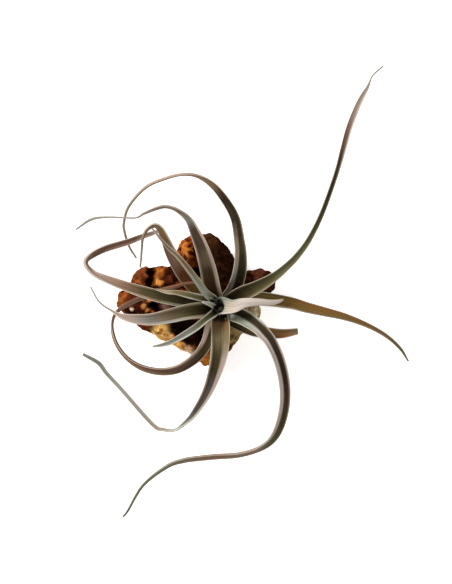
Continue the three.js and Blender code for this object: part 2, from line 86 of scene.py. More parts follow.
# Where the root differs from the rest, seen from above: the middle of the place, its reach, how
# far it stands out or sinks in, how much of the bumps is worn away there, and its colour.
# Some of these places are painted light and shade rather than the root's own colour: the lighter top and
# left flank of the dome and the top of the right knob are painted highlights, and the near-black hollows,
# notch, gaps, feet and right edge are painted shade.
WOOD_PLACES = {
    "dome": ((-1, 22), 17, 0, 0.3, "#22120a"),
    # Painted light: the dome's top and left flank are painted lighter where the light falls, and its right
    # edge and the gap left of it darker, as painted shade.
    "dome, top": ((-5, 35), 6, 0.3, 0.3, "#3c2212"),
    "dome, left flank": ((-8.5, 25), 5, 0.3, 0.2, "#3c1c0e"),
    "dome, right edge": ((12, 22), 5, 0, 0.3, "#180c07"),
    "gap left of the dome": ((-12.3, 18.7), 3.5, -1.5, 0.4, "#240f07"),
    "right knob": ((19, 10), 13, 0, 0.2, "#200d08"),
    # Painted light: a painted highlight on the right knob's top, and painted shade at its foot.
    "right knob, top": ((20, 18), 4, 0.8, 0.3, "#50281a"),
    "right knob, foot": ((22, 3), 5, -0.5, 0.3, "#140b0a"),
    "left boss": ((-50, 3), 7, 0.4, 0.1, "#7e431a"),
    "left boss, inside": ((-44, 4.5), 5.5, -0.5, 0.2, "#6e3418"),
    # Painted shade at the left boss's foot.
    "left boss, foot": ((-46, -3), 5, -0.5, 0.3, "#30120a"),
    "round the bead": ((-42, -0.5), 4, -0.8, 0.3, "#4e2010"),
    "bead": ((-45.4, -0.8), 1.7, 1.1, 0.9, "#d8b8a4"),
    "rim, upper end": ((-35.8, 3.6), 2, 1.3, 0.3, "#b8703a"),
    "rim, middle": ((-38.2, 1.5), 2.2, 1.6, 0.3, "#c58448"),
    "rim, lower end": ((-37, -1.6), 2, 1.3, 0.3, "#b8703a"),
    # Painted shade: dark round the pebble, and near-black in the hollow in the rim.
    "round the pebble": ((-27, 1), 7, -1, 0.3, "#2c130c"),
    "hollow in the rim": ((-34, 0.6), 2.8, -2.2, 0.5, "#120805"),
    "pebble": ((-28.1, 0.4), 3.2, 1.2, 0.7, "#6a4a40"),
    "upper left knob": ((-41.5, 17), 5, 0.6, 0.2, "#70391a"),
    # Painted shade: the notch is near-black.
    "notch, top": ((-35.6, 18.6), 3, -2.2, 0.4, "#1a0a05"),
    "notch, foot": ((-35.2, 13.6), 3.4, -2.2, 0.4, "#1a0a05"),
    "netted patch": ((-25.5, 16), 6, -0.3, 0, "#4c2112"),
    "golden ridge, top": ((-31, 17.4), 3.2, 1.1, 0.3, "#b4652a"),
    "golden ridge, foot": ((-31.4, 12.6), 3.2, 1, 0.3, "#c07c38"),
    "ridge, top": ((-18.5, 31.5), 4.5, 0.5, 0, "#9c561f"),
    "ridge, middle": ((-17, 28), 4.5, 0.6, 0, "#a86226"),
    "ridge, foot": ((-14, 23), 4.5, 0.5, 0.1, "#7a3c19"),
    "ridge, upper pocket": ((-14.8, 31.5), 1.5, -0.9, 0.3, "#7a3410"),
    "ridge, left pocket": ((-20.4, 29.6), 1.3, -0.8, 0.2, "#5a1e0a"),
    "ridge, top pocket": ((-16.4, 34.4), 1.5, -0.8, 0.2, "#5a240e"),
    "ridge, right pocket": ((-14.6, 27.4), 1.7, -1, 0.2, "#4a1a0a"),
    "ridge, lower pocket": ((-18.4, 25.4), 1.6, -1.1, 0.3, "#5a1e0a"),
    # Painted shade: the long hollow is near-black.
    "long hollow": ((-15, -13), 9.5, -1, 0.9, "#170b08"),
    "long hollow, left end": ((-22, -9), 6.5, -1.1, 0.9, "#1a0d09"),
    "strip, left end": ((-40, -10), 6, 0, 0.4, "#61301a"),
    "scraped blob": ((-30.4, -12.4), 6.4, 0.7, 0.4, "#e4b468"),
    "scraped blob, foot": ((-26.4, -16), 4.6, 0.4, 0.3, "#dca05c"),
    "knot in the blob": ((-30.6, -11.6), 1.4, -0.5, 0.6, "#8f5a26"),
    "strip": ((-21.8, -19.2), 4, 0.3, 0.4, "#d69a4e"),
    "strip, pale": ((-16.8, -22.6), 4, 0.3, 0.5, "#dcb284"),
    "strip, right end": ((-11.6, -25.6), 4, 0.3, 0.5, "#d8b890"),
    # Painted shade along the long hollow's lower lip.
    "lower lip of the long hollow": ((-19.5, -15.6), 3.4, -0.6, 0.6, "#170b08"),
    "bottom lump": ((-6.8, -26.5), 4.4, 0.5, 0.3, "#a8642a"),
    "right flank": ((19, -1), 7, 0, 0.7, "#a89672"),
    "lower right flank": ((9.5, -11), 10, 0, 0.7, "#8d764c"),
}


def linear(colour):
    """A linear colour from an sRGB hex value."""
    channels = [int(colour[i : i + 2], 16) / 255 for i in (1, 3, 5)]
    return [c / 12.92 if c <= 0.04045 else ((c + 0.055) / 1.055) ** 2.4 for c in channels] + [1]


def add(tree, kind, inputs=(), stops=(), **settings):
    """Add a node with its settings. An input is a value, a socket or a node; stops are a ramp's."""
    node = tree.nodes.new(kind)
    for name, value in settings.items():
        setattr(node, name, value)
    live = [s for s in node.inputs if s.enabled]
    for key, value in inputs.items() if isinstance(inputs, dict) else enumerate(inputs):
        target = live[key] if isinstance(key, int) else next(s for s in live if s.name == key)
        if isinstance(value, bpy.types.Node):
            value = next(s for s in value.outputs if s.enabled)
        if isinstance(value, bpy.types.NodeSocket):
            tree.links.new(value, target)
        elif isinstance(value, str) and value.startswith("#"):
            target.default_value = linear(value)
        else:
            target.default_value = value
    for place, (position, colour) in enumerate(stops):
        ramp = node.color_ramp.elements
        stop = ramp[place] if place < 2 else ramp.new(position)
        stop.position = position
        stop.color = linear(colour)
    return node


def open_tree(name, sizes):
    """Start a Geometry Nodes tree with a named input for each of its sizes."""
    tree = bpy.data.node_groups.new(name, "GeometryNodeTree")
    tree.interface.new_socket("Geometry", in_out="INPUT", socket_type="NodeSocketGeometry")
    tree.interface.new_socket("Finish", in_out="INPUT", socket_type="NodeSocketMaterial")
    for size in sizes:
        tree.interface.new_socket(size, in_out="INPUT", socket_type="NodeSocketFloat")
    tree.interface.new_socket("Geometry", in_out="OUTPUT", socket_type="NodeSocketGeometry")
    given = tree.nodes.new("NodeGroupInput")
    return tree, {s.name: s for s in given.outputs}


def close_tree(tree, given, geometry):
    """End a tree in plain meshes that wear the finish it was given."""
    real = add(tree, "GeometryNodeRealizeInstances", [geometry])
    worn = add(tree, "GeometryNodeSetMaterial", {"Geometry": real, "Material": given["Finish"]})
    add(tree, "NodeGroupOutput", [worn])


def settle(piece, tree=None, **values):
    """Run a tree and any other modifiers on a piece, and keep the result as its plain mesh."""
    if tree:
        modifier = piece.modifiers.new(tree.name, "NODES")
        modifier.node_group = tree
        for item in tree.interface.items_tree:
            if item.in_out == "INPUT" and item.name.replace(" ", "_") in values:
                modifier[item.identifier] = values[item.name.replace(" ", "_")]
    evaluated = piece.evaluated_get(bpy.context.evaluated_depsgraph_get())
    mesh = bpy.data.meshes.new_from_object(evaluated)
    piece.modifiers.clear()
    piece.data = mesh
    return piece


def new_piece(name, mesh):
    """Put a mesh in the scene as an object of its own."""
    piece = bpy.data.objects.new(name, mesh)
    bpy.context.scene.collection.objects.link(piece)
    return piece


def merged_copy(node):
    """The mesh of a CAD node, copied, with its loose triangles joined."""
    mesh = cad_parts[node].data.copy()
    mesh.materials.clear()
    work = bmesh.new()
    work.from_mesh(mesh)
    bmesh.ops.remove_doubles(work, verts=work.verts, dist=1e-6)
    work.to_mesh(mesh)
    work.free()
    return mesh


def store(mesh, name, values):
    """Keep one number for each point of a mesh, for its finish to read."""
    attribute = mesh.attributes.get(name) or mesh.attributes.new(name, "FLOAT", "POINT")
    attribute.data.foreach_set("value", np.asarray(values, np.float32))


def points_of(mesh):
    """The places of a mesh's points, a row for each."""
    places = np.empty(3 * len(mesh.vertices), np.float32)
    mesh.vertices.foreach_get("co", places)
    return places.reshape(-1, 3)


def facing_of(mesh):
    """The directions that a mesh's points face, a row for each."""
    directions = np.empty(3 * len(mesh.vertices), np.float32)
    mesh.vertex_normals.foreach_get("vector", directions)
    return directions.reshape(-1, 3)


def present(piece, node):
    """Smooth a finished piece, and let it stand for its CAD node."""
    piece.data.shade_smooth()
    piece.data.set_sharp_from_angle(angle=math.radians(50))
    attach(piece, "root")
    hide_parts(node)


# Old root wood with oil soaked in, and no gloss left: red-brown on its flanks, and tan where the bark side
# was scraped bare. It is near-black in its hollows and orange on its ridges, partly its own colour and
# partly painted shade and a painted highlight.
wood_finish = bpy.data.materials.new("oiled_root_wood")
wood_finish.use_nodes = True
tree = wood_finish.node_tree
shader = tree.nodes["Principled BSDF"]
place = add(tree, "ShaderNodeTexCoord").outputs["Object"]
ridge = add(tree, "ShaderNodeAttribute", attribute_name="ridge").outputs["Fac"]
mottle = add(
    tree,
    "ShaderNodeTexNoise",
    {"Vector": place, "Scale": 1 / (MOTTLE_SIZE * MM), "Detail": 6, "Roughness": 0.65},
)
fleck = add(
    tree,
    "ShaderNodeTexNoise",
    {"Vector": place, "Scale": 1 / (FLECK_SIZE * MM), "Detail": 5, "Roughness": 0.7},
)
uneven = add(tree, "ShaderNodeMath", [mottle, 1.6, -0.8], operation="MULTIPLY_ADD")
height = add(tree, "ShaderNodeMath", [ridge, uneven], operation="ADD")
# Near-black in the hollows to orange on the ridges, by height above the level: partly the root's own colour,
# partly painted shade and a painted highlight.
tone = add(
    tree,
    "ShaderNodeValToRGB",
    [height],
    [
        (0.1, "#0b0402"),
        (0.36, "#1f0b06"),
        (0.52, "#3f1a0b"),
        (0.66, "#6e3614"),
        (0.8, "#85491f"),
        (0.96, "#9c5c2a"),
    ],
)
tint = add(tree, "ShaderNodeAttribute", attribute_name="place_colour").outputs["Vector"]
share = add(tree, "ShaderNodeAttribute", attribute_name="place_share").outputs["Fac"]
rest = add(tree, "ShaderNodeMath", [1.0, share], operation="SUBTRACT")
plain = add(
    tree, "ShaderNodeVectorMath", {"Vector": tone.outputs["Color"], "Scale": rest}, operation="SCALE"
)
colour = add(tree, "ShaderNodeVectorMath", [plain, tint], operation="ADD")
# Painted shade darkens the hollows and a painted highlight lightens the ridges, whatever the colour of the
# place.
painted_shade_and_highlight = add(
    tree,
    "ShaderNodeMapRange",
    {"Value": height, "From Min": 0.2, "From Max": 0.85, "To Min": 0.25, "To Max": 1.5},
)
colour = add(tree, "ShaderNodeVectorMath", {"Vector": colour, "Scale": painted_shade_and_highlight}, operation="SCALE")
speckle = add(
    tree,
    "ShaderNodeMapRange",
    {"Value": fleck, "From Min": 0.35, "From Max": 0.65, "To Min": 0.6, "To Max": 1.35},
)
specked = add(tree, "ShaderNodeVectorMath", {"Vector": colour, "Scale": speckle}, operation="SCALE")
tree.links.new(specked.outputs[0], shader.inputs["Base Color"])
grain = add(tree, "ShaderNodeBump", {"Strength": 0.6, "Distance": GRAIN_DEPTH * MM, "Height": fleck})
tree.links.new(grain.outputs[0], shader.inputs["Normal"])
shader.inputs["Roughness"].default_value = 0.45
shader.inputs["Specular IOR Level"].default_value = 0.0

tree, given = open_tree(
    "worn_root",
    ["Knob Size", "Knob Height", "Knob Bend", "Wrinkle Size", "Wrinkle Height", "Foot Low", "Foot High"],
)
at = add(tree, "GeometryNodeInputPosition")
knob_scale = add(tree, "ShaderNodeMath", [1.0, given["Knob Size"]], operation="DIVIDE")
wrinkle_scale = add(tree, "ShaderNodeMath", [1.0, given["Wrinkle Size"]], operation="DIVIDE")
bend = add(tree, "ShaderNodeTexNoise", {"Vector": at, "Scale": knob_scale, "Detail": 2})
bend_by = add(
    tree,
    "ShaderNodeVectorMath",
    {"Vector": bend.outputs["Color"], "Scale": given["Knob Bend"]},
    operation="SCALE",
)
bent = add(tree, "ShaderNodeVectorMath", [at, bend_by], operation="ADD")
knobs = add(
    tree,
    "ShaderNodeTexVoronoi",
    {"Vector": bent, "Scale": knob_scale, "Smoothness": 0.4},
    feature="SMOOTH_F1",
)
wrinkles = add(
    tree, "ShaderNodeTexNoise", {"Vector": bent, "Scale": wrinkle_scale, "Detail": 3, "Roughness": 0.6}
)
knob_rise = add(tree, "ShaderNodeMath", [KNOB_EDGE, knobs.outputs["Distance"]], operation="SUBTRACT")
knob_lift = add(tree, "ShaderNodeMath", [knob_rise, given["Knob Height"]], operation="MULTIPLY")
wrinkle_rise = add(tree, "ShaderNodeMath", [wrinkles, 0.5], operation="SUBTRACT")
wrinkle_lift = add(tree, "ShaderNodeMath", [wrinkle_rise, given["Wrinkle Height"]], operation="MULTIPLY")
lift = add(tree, "ShaderNodeMath", [knob_lift, wrinkle_lift], operation="ADD")
worn = add(tree, "GeometryNodeInputNamedAttribute", {"Name": "worn"}, data_type="FLOAT")
rough_here = add(tree, "ShaderNodeMath", [1.0, worn], operation="SUBTRACT")
height_up = add(tree, "ShaderNodeSeparateXYZ", [at]).outputs["Z"]
off_floor = add(
    tree,
    "ShaderNodeMapRange",
    {"Value": height_up, "From Min": given["Foot Low"], "From Max": given["Foot High"]},
)
kept_lift = add(tree, "ShaderNodeMath", [lift, rough_here], operation="MULTIPLY")
final_lift = add(tree, "ShaderNodeMath", [kept_lift, off_floor], operation="MULTIPLY")
normal = add(tree, "GeometryNodeInputNormal")
push = add(tree, "ShaderNodeVectorMath", {"Vector": normal, "Scale": final_lift}, operation="SCALE")
raised = add(tree, "GeometryNodeSetPosition", {"Geometry": given["Geometry"], "Offset": push})
close_tree(tree, given, raised)
root_tree = tree

wood = new_piece("root_wood", merged_copy("wood"))
remesh = wood.modifiers.new("grid", "REMESH")
remesh.mode = "VOXEL"
remesh.voxel_size = WOOD_CELL * MM
smooth = wood.modifiers.new("worn", "SMOOTH")
smooth.iterations = WOOD_SMOOTHING
settle(wood)
at_points = points_of(wood.data)
outwards = facing_of(wood.data)
noise.seed_set(BEND_SEED)
bends = np.array([noise.noise_vector(point) for point in at_points / (BEND_SIZE * MM)])
bent_points = (at_points / MM + BEND_REACH * bends)[:, :2]
lift, worn, share = np.zeros((3, len(at_points)))
tint = np.zeros((len(at_points), 3))
for middle, reach, rise, wear, shade in WOOD_PLACES.values():
    off = np.linalg.norm(bent_points - middle, axis=1) / reach
    near = np.clip((PLACE_END - off) / PLACE_FADE, 0, 1)
    near = PLACE_SHARE * near**2 * (3 - 2 * near)
    lift += rise * np.clip(1 - off**2, 0, 1) ** 2
    worn = np.maximum(worn, wear * near)
    tint = tint * (1 - near[:, None]) + np.outer(near, linear(shade)[:3])
    share = share * (1 - near) + near
lift *= np.clip((at_points[:, 2] / MM - FOOT_LOW) / (FOOT_HIGH - FOOT_LOW), 0, 1)
wood.data.vertices.foreach_set("co", (at_points + MM * lift[:, None] * outwards).ravel())
store(wood.data, "worn", worn)
store(wood.data, "place_share", share)
wood.data.attributes.new("place_colour", "FLOAT_VECTOR", "POINT")
wood.data.attributes["place_colour"].data.foreach_set("vector", tint.ravel().astype(np.float32))
settle(
    wood,
    root_tree,
    Finish=wood_finish,
    Knob_Size=KNOB_SIZE * MM,
    Knob_Height=KNOB_HEIGHT * MM,
    Knob_Bend=KNOB_BEND * MM,
    Wrinkle_Size=WRINKLE_SIZE * MM,
    Wrinkle_Height=WRINKLE_HEIGHT * MM,
    Foot_Low=FOOT_LOW * MM,
    Foot_High=FOOT_HIGH * MM,
)
level = new_piece("level", wood.data.copy())
spread = level.modifiers.new("level", "SMOOTH")
spread.iterations = HOLLOW_REACH
settle(level)
above_level = points_of(wood.data) - points_of(level.data)
rise = np.einsum("ij,ij->i", above_level, facing_of(level.data))
store(wood.data, "ridge", 0.5 + rise / (RIDGE_RANGE * MM))
bpy.data.objects.remove(level)
present(wood, "wood")

# Stem
# The short woody stub that the leaf bases sheathe: dry, grey-brown and ringed with the scars of
# shed leaves. It stands in the bored hole with a little room for the glue.
STEM_BOTTOM = 25.5
STEM_TOP = 42
STEM_PROFILE = [(0, 1.9), (2, 2.4), (10.5, 2.4), (15.9, 1.5)]  # height above its bottom, radius
SCAR_SPACING = 1.3
SCAR_DEPTH = 0.12
STEM_STEP = 0.3
STEM_SIDES = 48
RIND_FLECK = 0.8

# Dry rind: rough and matt, its grey-brown broken up by pale flecks, with a shadow in each scar.
stem_finish = bpy.data.materials.new("dry_plant_stem")
stem_finish.use_nodes = True
tree = stem_finish.node_tree
shader = tree.nodes["Principled BSDF"]
place = add(tree, "ShaderNodeTexCoord").outputs["Object"]
fleck = add(tree, "ShaderNodeTexNoise", {"Vector": place, "Scale": 1 / (RIND_FLECK * MM), "Detail": 5})
tone = add(
    tree, "ShaderNodeValToRGB", [fleck], [(0.3, "#4a4230"), (0.55, "#7d7a5e"), (0.8, "#a79c80")]
)
tree.links.new(tone.outputs["Color"], shader.inputs["Base Color"])
rind = add(tree, "ShaderNodeBump", {"Strength": 0.4, "Distance": 0.1 * MM, "Height": fleck})
tree.links.new(rind.outputs[0], shader.inputs["Normal"])
shader.inputs["Roughness"].default_value = 0.85

work = bmesh.new()
rings = []
for rise in np.arange(0, STEM_PROFILE[-1][0], STEM_STEP):
    radius = np.interp(rise, [h for h, _ in STEM_PROFILE], [r for _, r in STEM_PROFILE])
    radius -= SCAR_DEPTH * (0.5 + 0.5 * math.cos(2 * math.pi * rise / SCAR_SPACING)) ** 4
    ring = []
    for side in range(STEM_SIDES):
        angle = 2 * math.pi * side / STEM_SIDES
        point = Vector((radius * math.cos(angle), radius * math.sin(angle), STEM_BOTTOM + rise))
        ring.append(work.verts.new(MM * point))
    rings.append(ring)
for low, high in zip(rings, rings[1:]):
    for side in range(STEM_SIDES):
        after = (side + 1) % STEM_SIDES
        work.faces.new((low[side], low[after], high[after], high[side]))
work.faces.new(rings[0][::-1])
crown_point = work.verts.new((0, 0, STEM_TOP * MM))
for side in range(STEM_SIDES):
    work.faces.new((rings[-1][side], rings[-1][(side + 1) % STEM_SIDES], crown_point))
mesh = bpy.data.meshes.new("stem")
work.to_mesh(mesh)
work.free()
mesh.materials.append(stem_finish)
present(new_piece("plant_stem", mesh), "stem")

# Leaves
# Stiff, dry, channelled blades under a coat of silvery scales (scurf): dark inside the channel, paler
# outside and along the margins. Near the crown their channels are painted near-black as painted shade, each
# is painted darker along its keel as painted shade, and the pale rim of each margin is partly scurf and
# partly a painted highlight. Each grew from the crown as one blade, a crescent in section, and its sheath
# gives way to the leaves inside it.
KEEL_THICKNESS = 0.9
MARGIN_THICKNESS = 0.6
CHANNEL_ANGLE = 140
FLATTEST = 0.02  # half the least channel angle, in radians, so that a flat blade has a radius too
THREAD_WIDTH = 3  # from this width down, a leaf flattens to a thread
LEAF_STEP = 1.1
LEAF_SIDES = 40
MARGIN_ROUNDING = 0.45  # less makes the margins blunter
LEAF_CLEARANCE = 0.3
CROWN_REACH = 60  # how far along a leaf it can meet its neighbours

tree, given = open_tree("channelled_blade", ["Keel Thickness", "Margin Thickness", "Growth"])
rail = add(tree, "GeometryNodeMeshToCurve", [given["Geometry"]])
rail_kept = add(tree, "GeometryNodeCaptureAttribute", domain="POINT")
rail_kept.capture_items.new("VECTOR", "centre")
rail_kept.capture_items.new("VECTOR", "along")
rail_place = add(tree, "GeometryNodeInputPosition")
rail_tangent = add(tree, "GeometryNodeInputTangent")
tree.links.new(rail.outputs[0], rail_kept.inputs[0])
tree.links.new(rail_place.outputs[0], rail_kept.inputs["centre"])
tree.links.new(rail_tangent.outputs[0], rail_kept.inputs["along"])
ring = add(tree, "GeometryNodeCurvePrimitiveCircle", {"Resolution": LEAF_SIDES, "Radius": MM})
ring_kept = add(tree, "GeometryNodeCaptureAttribute", domain="POINT")
ring_kept.capture_items.new("FLOAT", "round")
round_ring = add(tree, "GeometryNodeSplineParameter")
tree.links.new(ring.outputs[0], ring_kept.inputs[0])
tree.links.new(round_ring.outputs["Factor"], ring_kept.inputs["round"])
swept = add(
    tree,
    "GeometryNodeCurveToMesh",
    {"Curve": rail_kept.outputs[0], "Profile Curve": ring_kept.outputs[0], "Fill Caps": True},
)
angle = add(tree, "ShaderNodeMath", [ring_kept.outputs["round"], 2 * math.pi], operation="MULTIPLY")
across = add(tree, "ShaderNodeMath", [angle], operation="COSINE")
side = add(tree, "ShaderNodeMath", [angle], operation="SINE")
half, radius, roll = (
    add(tree, "GeometryNodeInputNamedAttribute", {"Name": name}, data_type="FLOAT")
    for name in ("half", "turn_radius", "roll")
)
lean = add(tree, "ShaderNodeMath", [across, half], operation="MULTIPLY")
middle = add(tree, "ShaderNodeMath", [across, math.pi / 2], operation="MULTIPLY")
keel_share = add(tree, "ShaderNodeMath", [middle], operation="COSINE")
thickness = add(
    tree,
    "ShaderNodeMapRange",
    {"Value": keel_share, "To Min": given["Margin Thickness"], "To Max": given["Keel Thickness"]},
)
half_thick = add(tree, "ShaderNodeMath", [thickness, 0.5, given["Growth"]], operation="MULTIPLY_ADD")
side_size = add(tree, "ShaderNodeMath", [side], operation="ABSOLUTE")
side_round = add(tree, "ShaderNodeMath", [side_size, MARGIN_ROUNDING], operation="POWER")
side_sign = add(tree, "ShaderNodeMath", [side], operation="SIGN")
side_full = add(tree, "ShaderNodeMath", [side_round, side_sign], operation="MULTIPLY")
reach = add(tree, "ShaderNodeMath", [side_full, half_thick, radius], operation="MULTIPLY_ADD")
lean_sine = add(tree, "ShaderNodeMath", [lean], operation="SINE")
lean_cosine = add(tree, "ShaderNodeMath", [lean], operation="COSINE")
half_sine = add(tree, "ShaderNodeMath", [half], operation="SINE")
half_chord = add(tree, "ShaderNodeMath", [radius, half_sine], operation="MULTIPLY")
balance = add(tree, "ShaderNodeMath", [half_chord, half], operation="DIVIDE")
to_left = add(tree, "ShaderNodeMath", [reach, lean_sine], operation="MULTIPLY")
drop = add(tree, "ShaderNodeMath", [reach, lean_cosine], operation="MULTIPLY")
to_open = add(tree, "ShaderNodeMath", [balance, drop], operation="SUBTRACT")
along = rail_kept.outputs["along"]
left_raw = add(tree, "ShaderNodeVectorMath", [(0, 0, 1), along], operation="CROSS_PRODUCT")
left = add(tree, "ShaderNodeVectorMath", [left_raw], operation="NORMALIZE")
opening = add(tree, "ShaderNodeVectorMath", [along, left], operation="CROSS_PRODUCT")
left_part = add(tree, "ShaderNodeVectorMath", {"Vector": left, "Scale": to_left}, operation="SCALE")
open_part = add(tree, "ShaderNodeVectorMath", {"Vector": opening, "Scale": to_open}, operation="SCALE")
flat_offset = add(tree, "ShaderNodeVectorMath", [left_part, open_part], operation="ADD")
turn = add(tree, "ShaderNodeMath", [roll, -1.0], operation="MULTIPLY")
turned = add(tree, "ShaderNodeVectorRotate", {"Vector": flat_offset, "Axis": along, "Angle": turn})
final = add(tree, "ShaderNodeVectorMath", [rail_kept.outputs["centre"], turned], operation="ADD")
formed = add(tree, "GeometryNodeSetPosition", {"Geometry": swept, "Position": final})
for name, value in (("across", across), ("face", side_full)):
    formed = add(
        tree,
        "GeometryNodeStoreNamedAttribute",
        {"Geometry": formed, "Name": name, "Value": value},
        data_type="FLOAT",
        domain="POINT",
    )
close_tree(tree, given, formed)
blade_tree = tree


def between(rows, t):
    """A uniform Catmull-Rom curve through rows of numbers, at t from 0 to the last row."""
    rows = np.vstack([2 * rows[0] - rows[1], rows, 2 * rows[-1] - rows[-2]])
    start = np.minimum(t.astype(int), len(rows) - 4)
    u = (t - start)[:, None]
    a, b, c, d = (rows[start + i] for i in range(4))
    square = 2 * a - 5 * b + 4 * c - d
    cube = 3 * b - a - 3 * c + d
    return b + u * (c - a) / 2 + u**2 * square / 2 + u**3 * cube / 2


def middle_line(line, grow=0, reach=None):
    """The mesh of a leaf's middle line, with what its blade needs to know at each point. A row of
    line is x, y, height, width laid flat, roll in degrees, and the channel angle where it differs."""
    rows = np.array([row if len(row) == 6 else (*row, CHANNEL_ANGLE) for row in line], float)
    t = np.linspace(0, len(rows) - 1, 60 * len(rows))
    steps = np.linalg.norm(np.diff(between(rows[:, :3], t), axis=0), axis=1)
    travelled = np.concatenate([[0], np.cumsum(steps)])
    end = min(travelled[-1], reach or travelled[-1])
    t = np.interp(np.linspace(0, end, math.ceil(end / LEAF_STEP) + 1), travelled, t)
    points = between(rows[:, :3], t)
    width, roll, channel = between(rows[:, 3:], t).T
    if grow:
        points[0] -= grow * (points[1] - points[0]) / np.linalg.norm(points[1] - points[0])
    half = np.radians(channel * np.minimum(1, width / THREAD_WIDTH)) / 2
    half = np.where(np.abs(half) < FLATTEST, FLATTEST, half)
    mesh = bpy.data.meshes.new("middle_line")
    mesh.from_pydata(MM * points, [(i, i + 1) for i in range(len(points) - 1)], [])
    store(mesh, "half", half)
    store(mesh, "turn_radius", MM * width / (2 * half))
    store(mesh, "roll", np.radians(roll))
    store(mesh, "row", t / (len(rows) - 1))
    return mesh


# The colours of a dry, sun-hardened leaf: near-black at the crown, which is painted shade, then dark to
# green down its channel, grey to silver where the scurf lies thick, and brown, mauve or copper where the sun
# has turned it.
# Painted shade: near-black where the leaves crowd into the crown, and down the heart leaf's tube.
CROWN_SHADE_BLACK = "#130f08"
DARK_OLIVE = "#342b14"
OLIVE = "#4c4426"
LEAF_GREEN = "#5f5c3b"
OLIVE_TAN = "#7a6c4b"
GREY_GREEN = "#868773"
SILVER_GREEN = "#a9ad9c"
SILVER = "#c8c7ba"
DARK_BROWN = "#2f2114"
DARK_TAUPE = "#4a3b2a"
TAUPE = "#6c5a45"
BRONZE = "#785c3d"
MAUVE_BROWN = "#7f6251"
ROSY_BROWN = "#957963"
MAUVE_GREY = "#9c897c"
PINK_BEIGE = "#b9a192"
BEIGE = "#a8967c"
CREAM = "#c9b79d"
WHITE_PINK = "#cdbfb4"
ORANGE_BROWN = "#835a30"
RED_BROWN = "#6b4029"
THREAD_GREY = "#96938a"
SLATE = "#74736a"
UMBER = "#43290f"
GOLDEN_OLIVE = "#6e5626"
GOLD_BROWN = "#80602f"
COPPER = "#96582a"
ROSE_TAN = "#a98d79"
PLUM_BROWN = "#75564a"
RUSSET = "#66431f"
VIOLET_GREY = "#4a433f"
# Painted light: paler than the leaf's own pink, for a base that lies in shade under other leaves.
PALE_PINK = "#ead2c4"
# Pale scurf on the margins, brightened as a painted highlight.
PALE_RIM_AND_HIGHLIGHT = "#d3c6b2"
BLOTCH_SIZE = 7  # waves that let the colours wander along the leaf
VEIN_DEPTH = 0.15
SCALE_SIZE = 0.35  # the scales of the scurf
FRAYING = 0.3  # how far the veins fray the colour of a margin, in half widths of the blade
MARGIN_FADE = 0.14  # half the stretch over which it fades, likewise


